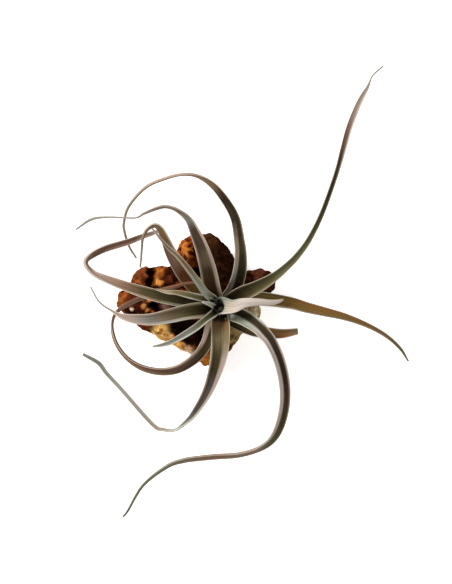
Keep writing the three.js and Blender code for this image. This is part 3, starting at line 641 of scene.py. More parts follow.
def blade_finish(name, rows, inner, outer, left, right, bands, rim_share=0.55):
    """Dry leaf skin under silvery scurf, with fine veins along it, painted shade along the keel, and hardly
    any gloss. inner, outer, left and right are the colours of the channel, the outside and the two margins,
    each as row and colour; bands says how far in from each edge its margin's colour comes, and rim_share how
    strongly the pale rim shows, which is partly scurf and partly a painted highlight."""
    finish = bpy.data.materials.new(name)
    finish.use_nodes = True
    tree = finish.node_tree
    shader = tree.nodes["Principled BSDF"]
    place = add(tree, "ShaderNodeTexCoord").outputs["Object"]
    row, across, face = (
        add(tree, "ShaderNodeAttribute", attribute_name=name).outputs["Fac"]
        for name in ("row", "across", "face")
    )
    blotch = add(tree, "ShaderNodeTexNoise", {"Vector": place, "Scale": 1 / (BLOTCH_SIZE * MM), "Detail": 3})
    wander = add(tree, "ShaderNodeMath", [blotch, 0.08, -0.04], operation="MULTIPLY_ADD")
    there = add(tree, "ShaderNodeMath", [row, wander], operation="ADD")
    colours = {}
    for part, stops in {"inner": inner, "outer": outer, "left": left, "right": right}.items():
        ramp = [(at / (rows - 1), colour) for at, colour in stops]
        if len(ramp) == 1:
            ramp.append((1, ramp[0][1]))
        colours[part] = add(tree, "ShaderNodeValToRGB", [there], ramp).outputs["Color"]
    # The veins are long in row and narrow across the blade, about 0.4 mm apart where it is widest.
    lengthwise = add(tree, "ShaderNodeMath", [row, 0.35 * rows], operation="MULTIPLY")
    crosswise = add(tree, "ShaderNodeMath", [across, 8.0], operation="MULTIPLY")
    strip = add(tree, "ShaderNodeCombineXYZ", [lengthwise, crosswise, face])
    veins = add(tree, "ShaderNodeTexNoise", {"Vector": strip, "Scale": 1.6, "Detail": 4, "Roughness": 0.6})
    inside = add(tree, "ShaderNodeMapRange", {"Value": face, "From Min": 0.2, "From Max": -0.2})
    body = add(tree, "ShaderNodeMix", [inside, colours["outer"], colours["inner"]], data_type="RGBA")
    ragged = add(tree, "ShaderNodeMath", [veins, FRAYING, across], operation="MULTIPLY_ADD")
    left_edge = 1 + FRAYING / 2 - bands[0]
    right_edge = bands[1] - 1 + FRAYING / 2
    for part, edge, fade in (("left", left_edge, MARGIN_FADE), ("right", right_edge, -MARGIN_FADE)):
        share = add(
            tree,
            "ShaderNodeMapRange",
            {"Value": ragged, "From Min": edge - fade, "From Max": edge + fade},
            interpolation_type="SMOOTHSTEP",
        )
        body = add(tree, "ShaderNodeMix", [share, body, colours[part]], data_type="RGBA")
    off_keel = add(tree, "ShaderNodeMath", [across], operation="ABSOLUTE")
    # The pale rim along each margin is partly scurf and partly a painted highlight.
    rim = add(
        tree,
        "ShaderNodeMapRange",
        {"Value": off_keel, "From Min": 0.88, "From Max": 0.97, "To Max": rim_share},
    )
    body = add(tree, "ShaderNodeMix", [rim, body, PALE_RIM_AND_HIGHLIGHT], data_type="RGBA")
    # Painted shade: the blade is darker along its keel, where its channel folds.
    painted_keel_shade = add(
        tree, "ShaderNodeMapRange", {"Value": off_keel, "From Max": 0.12, "To Min": 0.78, "To Max": 1.0}
    )
    streaks = add(
        tree,
        "ShaderNodeMapRange",
        {"Value": veins, "From Min": 0.3, "From Max": 0.7, "To Min": 0.7, "To Max": 1.25},
    )
    shade = add(tree, "ShaderNodeMath", [painted_keel_shade, streaks], operation="MULTIPLY")
    veined = add(tree, "ShaderNodeVectorMath", {"Vector": body, "Scale": shade}, operation="SCALE")
    scales = add(tree, "ShaderNodeTexVoronoi", {"Vector": place, "Scale": 1 / (SCALE_SIZE * MM)})
    dust = add(
        tree,
        "ShaderNodeMapRange",
        {"Value": scales.outputs["Distance"], "From Min": 0.4, "From Max": 0.1, "To Max": 0.06},
    )
    dusted = add(tree, "ShaderNodeMix", [dust, veined, SILVER], data_type="RGBA")
    tree.links.new(next(s for s in dusted.outputs if s.enabled), shader.inputs["Base Color"])
    relief = add(tree, "ShaderNodeBump", {"Strength": 0.5, "Distance": VEIN_DEPTH * MM, "Height": veins})
    tree.links.new(relief.outputs[0], shader.inputs["Normal"])
    shader.inputs["Roughness"].default_value = 0.75
    shader.inputs["Specular IOR Level"].default_value = 0.12
    return finish


def largest_body(mesh):
    """Keep the largest body of a cut mesh."""
    work = bmesh.new()
    work.from_mesh(mesh)
    left = set(work.verts)
    bodies = []
    while left:
        body, edge = set(), [left.pop()]
        while edge:
            vert = edge.pop()
            body.add(vert)
            for link in vert.link_edges:
                other = link.other_vert(vert)
                if other in left:
                    left.discard(other)
                    edge.append(other)
        bodies.append(body)
    keep = max(bodies, key=len)
    bmesh.ops.delete(work, geom=[v for v in work.verts if v not in keep], context="VERTS")
    work.to_mesh(mesh)
    work.free()


# Silvery hairs stand along the margins and, more thinly, on the faces of every blade. They are
# drawn about twice as thick as the real ones, so that they show.
HAIR_RADIUS = 0.045
HAIR_LEAN = 0.7  # the most that one leans off square, each way

tree, given = open_tree("silvery_hairs", ["Hair Length", "Hair Radius", "Margin Density", "Face Density"])
across = add(tree, "GeometryNodeInputNamedAttribute", {"Name": "across"}, data_type="FLOAT")
off_middle = add(tree, "ShaderNodeMath", [across], operation="ABSOLUTE")
margin = add(
    tree,
    "ShaderNodeMapRange",
    {"Value": off_middle, "From Min": 0.86, "From Max": 0.96, "To Max": given["Margin Density"]},
)
density = add(tree, "ShaderNodeMath", [margin, given["Face Density"]], operation="ADD")
seeds = add(
    tree,
    "GeometryNodeDistributePointsOnFaces",
    {"Mesh": given["Geometry"], "Density": density, "Seed": 7},
)
hair = add(
    tree,
    "GeometryNodeMeshCone",
    {
        "Vertices": 3,
        "Radius Bottom": given["Hair Radius"],
        "Radius Top": 0.0,
        "Depth": given["Hair Length"],
    },
    fill_type="TRIANGLE_FAN",
)
scatter = add(
    tree,
    "FunctionNodeRandomValue",
    {"Min": [-HAIR_LEAN] * 3, "Max": [HAIR_LEAN] * 3, "Seed": 11},
    data_type="FLOAT_VECTOR",
)
lean = add(tree, "ShaderNodeVectorMath", [seeds.outputs["Normal"], scatter], operation="ADD")
stand = add(tree, "FunctionNodeAlignRotationToVector", {"Vector": lean}, axis="Z")
length = add(tree, "FunctionNodeRandomValue", {"Min": 0.5, "Max": 1.2, "Seed": 3}, data_type="FLOAT")
standing = add(
    tree,
    "GeometryNodeInstanceOnPoints",
    {"Points": seeds.outputs["Points"], "Instance": hair, "Rotation": stand, "Scale": length},
)
close_tree(tree, given, standing)
hair_tree = tree

# Dead, air-filled hairs: white and matt, and they give a leaf its soft silver edge.
hair_finish = bpy.data.materials.new("silvery_plant_hair")
hair_finish.use_nodes = True
hair_shader = hair_finish.node_tree.nodes["Principled BSDF"]
hair_shader.inputs["Base Color"].default_value = linear("#d9d6cc")
hair_shader.inputs["Roughness"].default_value = 0.9
hair_shader.inputs["Specular IOR Level"].default_value = 0.1

crown = new_piece("crown", bpy.data.meshes.new("crown"))


def grow_leaf(node, slot, line, hairs=(0.35, 4, 0.25), **colours):
    """Sweep a leaf's blade along its middle line, cut its sheath clear of the leaves inside it,
    and show it in place of its CAD node. hairs are their length, and how many stand on a square
    millimetre of its margins and of its faces."""
    finish = blade_finish(node + "_skin", len(line), **colours)
    sizes = {"Keel_Thickness": KEEL_THICKNESS * MM, "Margin_Thickness": MARGIN_THICKNESS * MM}
    blade = new_piece(node.replace("leaf_", "blade_"), middle_line(line))
    settle(blade, blade_tree, Finish=finish, Growth=0.0, **sizes)
    whole = blade.data.copy()
    if len(crown.data.vertices):
        cut = blade.modifiers.new("cut", "BOOLEAN")
        cut.operation = "DIFFERENCE"
        cut.solver = "MANIFOLD"
        cut.object = crown
        settle(blade)
        largest_body(blade.data)
    near = KDTree(len(whole.vertices))
    for i, vertex in enumerate(whole.vertices):
        near.insert(vertex.co, i)
    near.balance()
    nearest = [near.find(v.co)[1] for v in blade.data.vertices]
    for name in ("row", "across", "face"):
        values = np.empty(len(whole.vertices), np.float32)
        whole.attributes[name].data.foreach_get("value", values)
        store(blade.data, name, values[nearest])
    for extra in ("half", "turn_radius", "roll"):
        found = blade.data.attributes.get(extra)
        if found:
            blade.data.attributes.remove(found)
    grown = new_piece("grown", middle_line(line, grow=LEAF_CLEARANCE, reach=CROWN_REACH))
    settle(grown, blade_tree, Finish=finish, Growth=LEAF_CLEARANCE * MM, **sizes)
    if len(crown.data.vertices):
        join = crown.modifiers.new("join", "BOOLEAN")
        join.operation = "UNION"
        join.solver = "MANIFOLD"
        join.object = grown
        settle(crown)
    else:
        crown.data = grown.data.copy()
    bpy.data.objects.remove(grown)
    fringe = new_piece(node.replace("leaf_", "hairs_"), blade.data.copy())
    length, on_margin, on_face = hairs
    settle(
        fringe,
        hair_tree,
        Finish=hair_finish,
        Hair_Length=length * MM,
        Hair_Radius=HAIR_RADIUS * MM,
        Margin_Density=on_margin / MM**2,
        Face_Density=on_face / MM**2,
    )
    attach(fringe, "root")
    present(blade, node)


# Heart leaves
# The youngest leaves, pale under thick scurf: a short sliver, the broad whitish one rolled into a tube
# round the crown's black hole and flattening to the right, and three grey-green ones.
grow_leaf(
    "leaf_heart_sliver",
    "leaf_pale",
    [[-2.5, 0.5, 46, 3, 0], [-5, 2, 52, 2.6, 0], [-8.5, 3, 55, 1, 0]],
    inner=[(0, GREY_GREEN), (1, SILVER_GREEN), (2, SILVER)],
    outer=[(0, GREY_GREEN), (2, SILVER)],
    left=[(0, SILVER)],
    right=[(0, SILVER_GREEN)],
    bands=(0.3, 0.3),
)
grow_leaf(
    "leaf_heart_white",
    "leaf_pale",
    [
        [1, -0.5, 37, 7, 0, 200],
        [0.8, 0.6, 44, 10, 0, 190],
        [1.4, 1.2, 50.5, 12, 0, 165],
        [6.5, 0.9, 54.5, 7.2, 0, 90],
        [12, 2.6, 57, 4.9, 0, -30],
        [18.5, 3.1, 57, 3.7, 0, -60],
        [25.5, 2.8, 55, 2.8, 0, -60],
        [29.5, 3.5, 52.5, 1.8, 0, -50],
        [31.5, 4.3, 51, 0.9, 0, -30],
    ],
    hairs=(0.8, 14, 2),
    # Its channel and margins are painted near-black up to row 1.8, as painted shade in the crown's hole.
    inner=[
        (0, CROWN_SHADE_BLACK), (1.8, CROWN_SHADE_BLACK), (2.1, SILVER_GREEN), (2.6, CREAM), (3.2, WHITE_PINK), (7, WHITE_PINK),
        (8, BEIGE),
    ],
    outer=[(0, GREY_GREEN), (1.7, SILVER_GREEN), (2.5, WHITE_PINK), (7, WHITE_PINK), (8, BEIGE)],
    left=[(0, CROWN_SHADE_BLACK), (1.8, CROWN_SHADE_BLACK), (2.2, SILVER_GREEN), (3, SILVER_GREEN), (4, WHITE_PINK), (8, BEIGE)],
    right=[(0, CROWN_SHADE_BLACK), (1.8, CROWN_SHADE_BLACK), (2.2, WHITE_PINK), (8, CREAM)],
    bands=(0.3, 0.25),
    rim_share=0.0,
)
grow_leaf(
    "leaf_inner_upper_left",
    "leaf_pale",
    [
        [-1.5, 1.5, 40, 7, 10],
        [-3.4, 4.6, 48, 6.4, 15],
        [-7, 8, 55, 5, 20],
        [-11, 13.5, 61, 4.2, 18],
        [-15.5, 19.5, 66, 3.6, 12],
        [-20.5, 25.5, 70, 2.6, 5],
        [-26, 30.5, 72.5, 1.8, 0],
        [-33, 39, 74, 0.8, 0],
    ],
    inner=[
        (0, OLIVE), (1, LEAF_GREEN), (2, SILVER_GREEN), (3, GREY_GREEN), (3.7, OLIVE_TAN),
        (4.5, BRONZE), (5, OLIVE_TAN), (6, TAUPE), (7, MAUVE_GREY),
    ],
    outer=[(0, GREY_GREEN), (3, SILVER_GREEN), (7, BEIGE)],
    left=[(0, SILVER_GREEN), (3.3, SILVER_GREEN), (4, BEIGE), (5, BEIGE), (6, TAUPE), (7, MAUVE_GREY)],
    right=[(0, SILVER_GREEN), (2, GREY_GREEN), (3, OLIVE_TAN), (4, BRONZE), (5, BEIGE), (7, MAUVE_GREY)],
    bands=(0.6, 0.3),
)
grow_leaf(
    "leaf_inner_left",
    "leaf_green",
    [
        [-2, 1, 41, 6, -10],
        [-4.5, 3, 48, 5, -15],
        [-8.5, 4.6, 53, 4.8, -25],
        [-15, 6, 56.5, 4.6, -35],
        [-21.5, 7.5, 58, 3.4, -35],
        [-26.5, 8, 58, 2, -25],
        [-31.5, 9.4, 57, 0.9, -20],
    ],
    inner=[
        (0, CROWN_SHADE_BLACK), (1, DARK_OLIVE), (2, OLIVE), (3, LEAF_GREEN), (4, OLIVE_TAN), (5, BEIGE),
        (6, BRONZE),
    ],
    outer=[(0, GREY_GREEN), (3, SILVER_GREEN), (6, BEIGE)],
    left=[(0, LEAF_GREEN), (2, OLIVE), (3, SILVER_GREEN), (4, OLIVE_TAN), (6, BEIGE)],
    right=[(0, SILVER_GREEN), (2, SILVER_GREEN), (3, OLIVE_TAN), (4, BRONZE), (6, BEIGE)],
    bands=(0.45, 0.3),
)
grow_leaf(
    "leaf_inner_lower_left",
    "leaf_green",
    [
        [-2, -1.5, 41, 6, 0],
        [-3.5, -3, 48, 5.2, -5],
        [-7, -5.7, 53.5, 4.4, -12],
        [-12, -9.8, 57, 4.4, -15],
        [-18, -13.6, 57.5, 4, -15],
        [-24.5, -17, 55, 3, -10],
        [-30, -18.5, 52.5, 1.6, 0],
        [-33.5, -19, 51, 0.8, 0],
    ],
    inner=[(0, CROWN_SHADE_BLACK), (1.5, OLIVE), (2.5, LEAF_GREEN), (3.5, SLATE), (6, SLATE), (7, THREAD_GREY)],
    outer=[(0, GREY_GREEN), (3, SILVER_GREEN), (7, THREAD_GREY)],
    left=[(0, SILVER_GREEN), (2, SILVER_GREEN), (4, SILVER_GREEN), (5, THREAD_GREY), (7, THREAD_GREY)],
    right=[(0, GREY_GREEN), (2.5, GREY_GREEN), (4, THREAD_GREY), (7, THREAD_GREY)],
    bands=(0.4, 0.35),
)

# Upper whorl
# Five long leaves that sheathe the heart. They arch out of the crown, sink towards their ends, and dry
# to a thread at the tip.
grow_leaf(
    "leaf_left",
    "leaf_green",
    [
        [-2.7, -0.5, 28.8, 8.6, 0, 150],
        [-3, -0.6, 35, 8.2, 0],
        [-5, -0.5, 42, 9.5, 0],
        [-10, -1, 48, 10.4, 0],
        [-17, -2, 52.5, 9.8, 0],
        [-25.5, -4, 54, 8.8, 0],
        [-34, -5.6, 52.5, 7.4, 0],
        [-42.5, -5.5, 49, 5.8, -5],
        [-49, -4.2, 46, 3.6, -12],
        [-54, -1.5, 43, 1.3, -20],
        [-60.5, 3, 41, 0.9, -10],
        [-65, 10.5, 39.5, 0.7, 0],
    ],
    inner=[
        (0, CROWN_SHADE_BLACK), (2.5, DARK_OLIVE), (4, OLIVE), (5.3, TAUPE), (6.3, SLATE), (7.3, MAUVE_GREY),
        (8.5, MAUVE_GREY), (10, THREAD_GREY),
    ],
    outer=[(0, GREY_GREEN), (4, BEIGE), (8, PINK_BEIGE), (10, THREAD_GREY)],
    left=[
        (0, GREY_GREEN), (3, BEIGE), (5, THREAD_GREY), (7, MAUVE_GREY), (8, PINK_BEIGE),
        (10, THREAD_GREY),
    ],
    right=[(0, OLIVE_TAN), (3, BEIGE), (6.5, BEIGE), (8, PINK_BEIGE), (10, THREAD_GREY)],
    bands=(0.4, 0.32),
)
grow_leaf(
    "leaf_bottom",
    "leaf_green",
    [
        [0, -2.7, 28.8, 9, 0, 150],
        [0, -2.8, 35, 9, 0],
        [0, -5, 42, 10.6, 0],
        [0.3, -11, 48.5, 12, 0],
        [0, -21, 54, 11.2, -4],
        [-2, -31, 56, 9.2, -12],
        [-6, -42, 55, 7, -25],
        [-12.5, -52.5, 51.5, 5, -38],
        [-18, -58, 48, 3.4, -55],
        [-22.5, -61, 45.5, 2.7, -62],
        [-28.5, -61, 42.5, 2.6, -48],
        [-34, -58.5, 40, 2.8, -35],
        [-49.5, -41.5, 34, 2.4, -20],
        [-57.5, -33, 31.5, 2.4, -15],
        [-61.5, -28, 30, 2.6, -10],
        [-69.5, -23.5, 28, 1.5, 0],
    ],
    inner=[
        (0, CROWN_SHADE_BLACK), (2.2, DARK_BROWN), (2.7, BRONZE), (3.4, OLIVE_TAN), (4, OLIVE), (5, DARK_OLIVE),
        (6, VIOLET_GREY), (7, VIOLET_GREY), (8, SLATE), (9, SILVER_GREEN), (10, MAUVE_GREY),
        (12, THREAD_GREY), (14, SLATE), (15, SLATE),
    ],
    outer=[(0, BEIGE), (5, PINK_BEIGE), (8, SILVER), (10, MAUVE_GREY), (12, THREAD_GREY), (14, SLATE)],
    left=[
        (0, DARK_BROWN), (2.2, DARK_BROWN), (2.6, ORANGE_BROWN), (3.5, OLIVE_TAN), (4.5, MAUVE_GREY),
        (6, MAUVE_GREY), (8, SILVER_GREEN), (9, SILVER), (10.5, MAUVE_GREY), (12, THREAD_GREY),
        (14, SLATE),
    ],
    right=[
        (0, OLIVE_TAN), (3, OLIVE_TAN), (4, CREAM), (7, MAUVE_GREY), (9, SILVER_GREEN),
        (12, THREAD_GREY), (14, SLATE),
    ],
    bands=(0.75, 0.2),
)
grow_leaf(
    "leaf_lower_right",
    "leaf_green",
    [
        [2.2, -1.5, 28.8, 9, 0, 150],
        [2.4, -1.7, 35, 9, 5],
        [5.5, -2.5, 42, 10.4, 8],
        [11.5, -5, 48, 10.6, 14],
        [17.5, -9, 53, 10, 22],
        [21.5, -13, 56, 9.2, 27],
        [25, -17.5, 57.5, 8.6, 28],
        [29, -26.5, 57.5, 8.1, 28],
        [31.5, -38, 55, 7.8, 28],
        [31.5, -49, 51, 7.4, 29],
        [29, -59.5, 46.5, 7, 34],
        [25, -66.5, 42, 6.2, 45],
        [18.5, -71, 38, 5.6, 58],
        [9, -74, 33, 5.4, 60],
        [-1.5, -75, 29.5, 5.3, 54],
        [-10, -76, 27, 5, 52],
        [-19, -77.5, 24.5, 4.6, 52],
        [-27.5, -81, 21.5, 3.5, 50],
        [-39.5, -91, 16.5, 1.9, 30],
        [-47.5, -104.5, 12, 1.2, 0],
        [-50, -107.5, 11, 0.9, 0],
    ],
    inner=[
        (0, CROWN_SHADE_BLACK), (4, DARK_OLIVE), (6, DARK_BROWN), (8, DARK_BROWN), (9, DARK_TAUPE), (10, OLIVE),
        (11, LEAF_GREEN), (12, MAUVE_GREY), (13, ROSY_BROWN), (15, ROSY_BROWN), (17, GREY_GREEN),
        (20, OLIVE),
    ],
    outer=[
        (0, SILVER_GREEN), (5, SILVER), (7, WHITE_PINK), (9, PINK_BEIGE), (11, THREAD_GREY),
        (12.5, ROSY_BROWN), (14, ROSY_BROWN), (15.5, MAUVE_GREY), (17, ROSY_BROWN), (18, GREY_GREEN),
        (20, OLIVE),
    ],
    left=[
        (0, GREY_GREEN), (3, SILVER_GREEN), (4, SILVER), (5, TAUPE), (6, THREAD_GREY),
        (8, PINK_BEIGE), (10, LEAF_GREEN), (13, BEIGE), (16, ROSY_BROWN), (18, GREY_GREEN),
        (20, OLIVE),
    ],
    right=[
        (0, SILVER_GREEN), (3.5, SILVER_GREEN), (4.8, WHITE_PINK), (8.8, WHITE_PINK),
        (10, PINK_BEIGE), (11, THREAD_GREY), (12, MAUVE_GREY), (13.5, ROSY_BROWN), (17, GREY_GREEN),
        (20, OLIVE),
    ],
    bands=(0.18, 1.0),
)
grow_leaf(
    "leaf_upper_right",
    "leaf_green",
    [
        [2.4, 1.2, 28.8, 9, 0, 150],
        [2.8, 1.6, 35, 9, -5],
        [5.5, 4, 42, 10, -10],
        [11, 7.5, 49.5, 10, -14],
        [18, 10.6, 56, 8.6, -13],
        [26, 15.2, 62, 6.2, -12],
        [31.8, 19.8, 66, 5, -12],
        [37.6, 25.6, 69.5, 4.2, -14],
        [43.6, 34, 73, 3.6, -16],
        [49.8, 46.8, 76, 3.2, -18],
        [56.3, 65, 77, 3.1, -20],
        [60, 77.5, 75.5, 3.5, -5],
        [63, 87.5, 73.5, 3.8, 15],
        [66.5, 96.5, 70.5, 3.7, 22],
        [69.5, 103, 67.5, 3.2, 20],
        [72.5, 108.5, 64, 1.7, 10],
        [74, 112, 62, 0.9, 0],
        [75.5, 115, 60.5, 0.8, 0],
        [80.5, 119.5, 58, 0.8, 0],
    ],
    inner=[
        (0, CROWN_SHADE_BLACK), (3, DARK_OLIVE), (4.2, OLIVE), (5.5, LEAF_GREEN), (7.5, LEAF_GREEN), (8.5, OLIVE),
        (9.5, DARK_OLIVE), (10.7, DARK_TAUPE), (12, MAUVE_BROWN), (13.5, MAUVE_GREY), (16, MAUVE_GREY),
        (18, THREAD_GREY),
    ],
    outer=[(0, BEIGE), (4, PINK_BEIGE), (7, MAUVE_GREY), (10, PINK_BEIGE), (18, THREAD_GREY)],
    left=[
        (0, LEAF_GREEN), (3, OLIVE_TAN), (5, LEAF_GREEN), (6, THREAD_GREY), (8, GREY_GREEN),
        (10, GREY_GREEN), (11, DARK_TAUPE), (12.5, MAUVE_BROWN), (14, MAUVE_GREY), (18, THREAD_GREY),
    ],
    right=[
        (0, OLIVE_TAN), (3, DARK_TAUPE), (4, OLIVE_TAN), (6, LEAF_GREEN), (8, LEAF_GREEN),
        (9, DARK_OLIVE), (10, OLIVE_TAN), (11.5, PINK_BEIGE), (15, PINK_BEIGE), (18, THREAD_GREY),
    ],
    bands=(0.3, 0.35),
)
grow_leaf(
    "leaf_upper",
    "leaf_green",
    [
        [-1, 2.5, 28.8, 8.6, 0, 150],
        [-1.2, 2.8, 35, 8.8, 0],
        [-2.2, 5, 42, 10.2, 8],
        [-3.8, 10.5, 49.5, 10.8, 8],
        [-5.8, 20, 57.5, 10.6, 9],
        [-8.5, 29.5, 63.5, 9, 14],
        [-11.6, 37, 66.5, 7.2, 22],
        [-15.2, 43.8, 68, 5, 35],
        [-21, 48.3, 68, 3.6, 55],
        [-26.5, 50, 67, 3.1, 60],
        [-31.5, 49, 66, 2.7, 50],
        [-37.5, 46.5, 64, 1.5, 25],
        [-42, 44.5, 62.5, 0.9, 0],
        [-54.5, 45, 59, 0.9, 0],
        [-63.5, 44, 56.5, 1.5, 0],
        [-71.5, 39, 54, 0.8, 0],
    ],
    inner=[
        (0, CROWN_SHADE_BLACK), (2.2, UMBER), (3.2, UMBER), (3.8, DARK_TAUPE), (4.5, TAUPE), (5.2, DARK_TAUPE),
        (6.2, DARK_TAUPE), (7, SLATE), (8, TAUPE), (9, MAUVE_GREY), (11, MAUVE_GREY),
        (12, THREAD_GREY),
    ],
    outer=[(0, BEIGE), (5, PINK_BEIGE), (8, SILVER), (10, MAUVE_GREY), (15, THREAD_GREY)],
    left=[
        (0, BEIGE), (3, ROSY_BROWN), (5, PINK_BEIGE), (6.5, SLATE), (8, MAUVE_GREY),
        (12, THREAD_GREY),
    ],
    right=[
        (0, ROSY_BROWN), (3, BEIGE), (4.5, MAUVE_GREY), (5.5, PINK_BEIGE), (6.5, PINK_BEIGE),
        (7.5, SLATE), (8.5, MAUVE_GREY), (10, MAUVE_GREY), (15, THREAD_GREY),
    ],
    bands=(0.2, 0.55),
)

# Lower whorl
# Six older leaves, whose sheaths stand outside all the others. Three curl back over the plant in long
# loops, one hooks over and hangs a tail, one was cut off short, and one runs out to the right.
grow_leaf(
    "leaf_left_loop",
    "leaf_mauve",
    [
        [-4.1, 0.8, 28.4, 9.6, 0, 115],
        [-4.6, 1.4, 33, 9.4, 0, 125],
        [-6.5, 2.4, 38.5, 9.2, 0],
        [-10, 3, 43.5, 9, 0],
        [-20, 4, 49, 8.6, 0],
        [-30, 5.8, 51.5, 8, -4],
        [-38, 7.8, 52, 7.4, -10],
        [-46.5, 10.4, 52, 6.6, -22],
        [-57, 14.2, 51, 6, -45],
        [-62.8, 17, 50, 5.6, -62],
        [-66.4, 20.5, 49, 5.4, -75],
        [-67, 23.8, 48.5, 5.4, -72],
        [-63, 27.2, 49, 5.4, -52],
        [-57, 30, 49.5, 5.2, -40],
        [-50, 32, 50, 4.7, -32],
        [-44.5, 33.6, 50.3, 4.2, -28],
        [-39.5, 35.5, 50.6, 3.6, -25],
        [-34.5, 37, 50.8, 2.8, -22],
        [-30, 38.5, 51, 1.4, -20],
    ],
    inner=[
        (0, CROWN_SHADE_BLACK), (4, DARK_OLIVE), (6, OLIVE), (7, MAUVE_BROWN), (7.7, ROSY_BROWN),
        (8.5, MAUVE_GREY), (9.5, PINK_BEIGE), (10.5, MAUVE_GREY), (12, MAUVE_BROWN),
        (15.5, MAUVE_BROWN), (17, MAUVE_GREY),
    ],
    outer=[
        (0, GREY_GREEN), (5, BEIGE), (8, MAUVE_GREY), (9.5, PINK_BEIGE), (11, BEIGE), (13, MAUVE_BROWN),
        (18, PINK_BEIGE),
    ],
    left=[
        (0, GREY_GREEN), (4, GREY_GREEN), (5, OLIVE_TAN), (5.7, ROSY_BROWN), (6.5, BEIGE),
        (8, PINK_BEIGE), (10, PINK_BEIGE), (12, BEIGE), (13, PINK_BEIGE), (15, MAUVE_GREY),
        (18, PINK_BEIGE),
    ],
    right=[
        (0, SILVER_GREEN), (4, GREY_GREEN), (5, LEAF_GREEN), (7, ROSY_BROWN), (9, PINK_BEIGE),
        (11, ROSY_BROWN), (12, OLIVE_TAN), (13, MAUVE_BROWN), (15, MAUVE_BROWN), (17, MAUVE_GREY),
        (18, CREAM),
    ],
    bands=(0.45, 0.3),
)
grow_leaf(
    "leaf_upper_left",
    "leaf_mauve",
    [
        [-2.2, 3.5, 28.4, 9.6, 0, 115],
        [-3.2, 4, 32, 9.8, 0, 125],
        [-6.2, 5.8, 36.5, 10.2, 0],
        [-10.5, 9.5, 40, 11, 0],
        [-16, 15, 43.5, 10.6, 5],
        [-20.5, 21.5, 48.5, 9.4, 10],
        [-24, 28, 55, 7.8, 18],
        [-26.5, 34, 60.5, 6.2, 28],
        [-29, 39, 63, 5.2, 42],
        [-32, 41, 63.5, 4.2, 55],
        [-35.7, 39, 62, 3.2, 65],
        [-38, 35, 59, 2.4, 70],
        [-38.7, 30.5, 53.5, 1.8, 65],
        [-39.3, 25.5, 47, 1.4, 60],
        [-40, 20.5, 41, 0.9, 40],
    ],
    inner=[
        (0, CROWN_SHADE_BLACK), (2, OLIVE), (2.8, GOLDEN_OLIVE), (3.8, RUSSET), (4.4, RED_BROWN),
        (5.2, ROSY_BROWN), (6, ROSY_BROWN), (7, BRONZE), (8, BRONZE), (9, MAUVE_GREY),
        (10, MAUVE_BROWN), (11, BRONZE), (12.5, MAUVE_GREY), (14, MAUVE_GREY),
    ],
    outer=[
        (0, OLIVE_TAN), (4, MAUVE_BROWN), (7, MAUVE_GREY), (9, BEIGE), (11, OLIVE_TAN),
        (14, MAUVE_GREY),
    ],
    left=[
        (0, OLIVE_TAN), (3, OLIVE_TAN), (4, BRONZE), (5.5, MAUVE_BROWN), (7, TAUPE), (8, BRONZE),
        (9.5, MAUVE_GREY), (11, OLIVE_TAN), (14, MAUVE_GREY),
    ],
    right=[
        (0, OLIVE_TAN), (4, BEIGE), (5, ROSY_BROWN), (6, BEIGE), (8, CREAM), (11, OLIVE_TAN),
        (14, MAUVE_GREY),
    ],
    bands=(0.25, 0.4),
)
grow_leaf(
    "leaf_top_loop",
    "leaf_green",
    [
        [2, 3.6, 28.4, 9.6, 0, 115],
        [2.8, 4.4, 33, 9.4, -8, 125],
        [4.6, 6.5, 38, 9.6, -15],
        [7, 11, 44, 10.2, -24],
        [9, 18, 52, 9.8, -28],
        [9.8, 26, 58.5, 8.2, -25],
        [9.3, 33.5, 62.5, 6.9, -15],
        [7.3, 44.5, 66, 5.8, -4],
        [2, 54, 67.5, 5, 8],
        [-4, 61, 67.5, 4.2, 28],
        [-11, 65, 66.5, 3.4, 60],
        [-18, 65.8, 65, 3.2, 78],
        [-26, 64.2, 63, 3.3, 78],
        [-36.5, 59.8, 60, 3.2, 75],
        [-45, 50.8, 55.5, 2.5, 65],
        [-47.7, 43, 51.5, 2, 58],
        [-47.7, 38.5, 48.8, 1.8, 50],
        [-45.5, 31, 44.5, 1.3, 30],
        [-42, 25, 40, 0.8, 0],
    ],
    inner=[
        (0, CROWN_SHADE_BLACK), (2.5, CROWN_SHADE_BLACK), (4, DARK_OLIVE), (5.5, OLIVE), (6.5, DARK_OLIVE), (7.5, DARK_BROWN),
        (8.3, DARK_BROWN), (9, BRONZE), (10, ROSY_BROWN), (11, ROSE_TAN), (13, ROSE_TAN),
        (14, MAUVE_GREY), (16, BEIGE), (18, THREAD_GREY),
    ],
    outer=[
        (0, CREAM), (5, BEIGE), (7, TAUPE), (9, MAUVE_BROWN), (10.5, ROSE_TAN), (13, ROSE_TAN),
        (16, BEIGE), (18, THREAD_GREY),
    ],
    left=[
        (0, BEIGE), (4, THREAD_GREY), (5, BEIGE), (6, BEIGE), (7, DARK_TAUPE), (8, DARK_BROWN),
        (9, TAUPE), (10.5, ROSE_TAN), (14, BEIGE), (18, THREAD_GREY),
    ],
    right=[
        (0, DARK_OLIVE), (3.5, OLIVE), (5, LEAF_GREEN), (6.5, LEAF_GREEN), (7.5, DARK_BROWN),
        (9, BRONZE), (11, ROSE_TAN), (18, THREAD_GREY),
    ],
    bands=(0.95, 0.28),
)
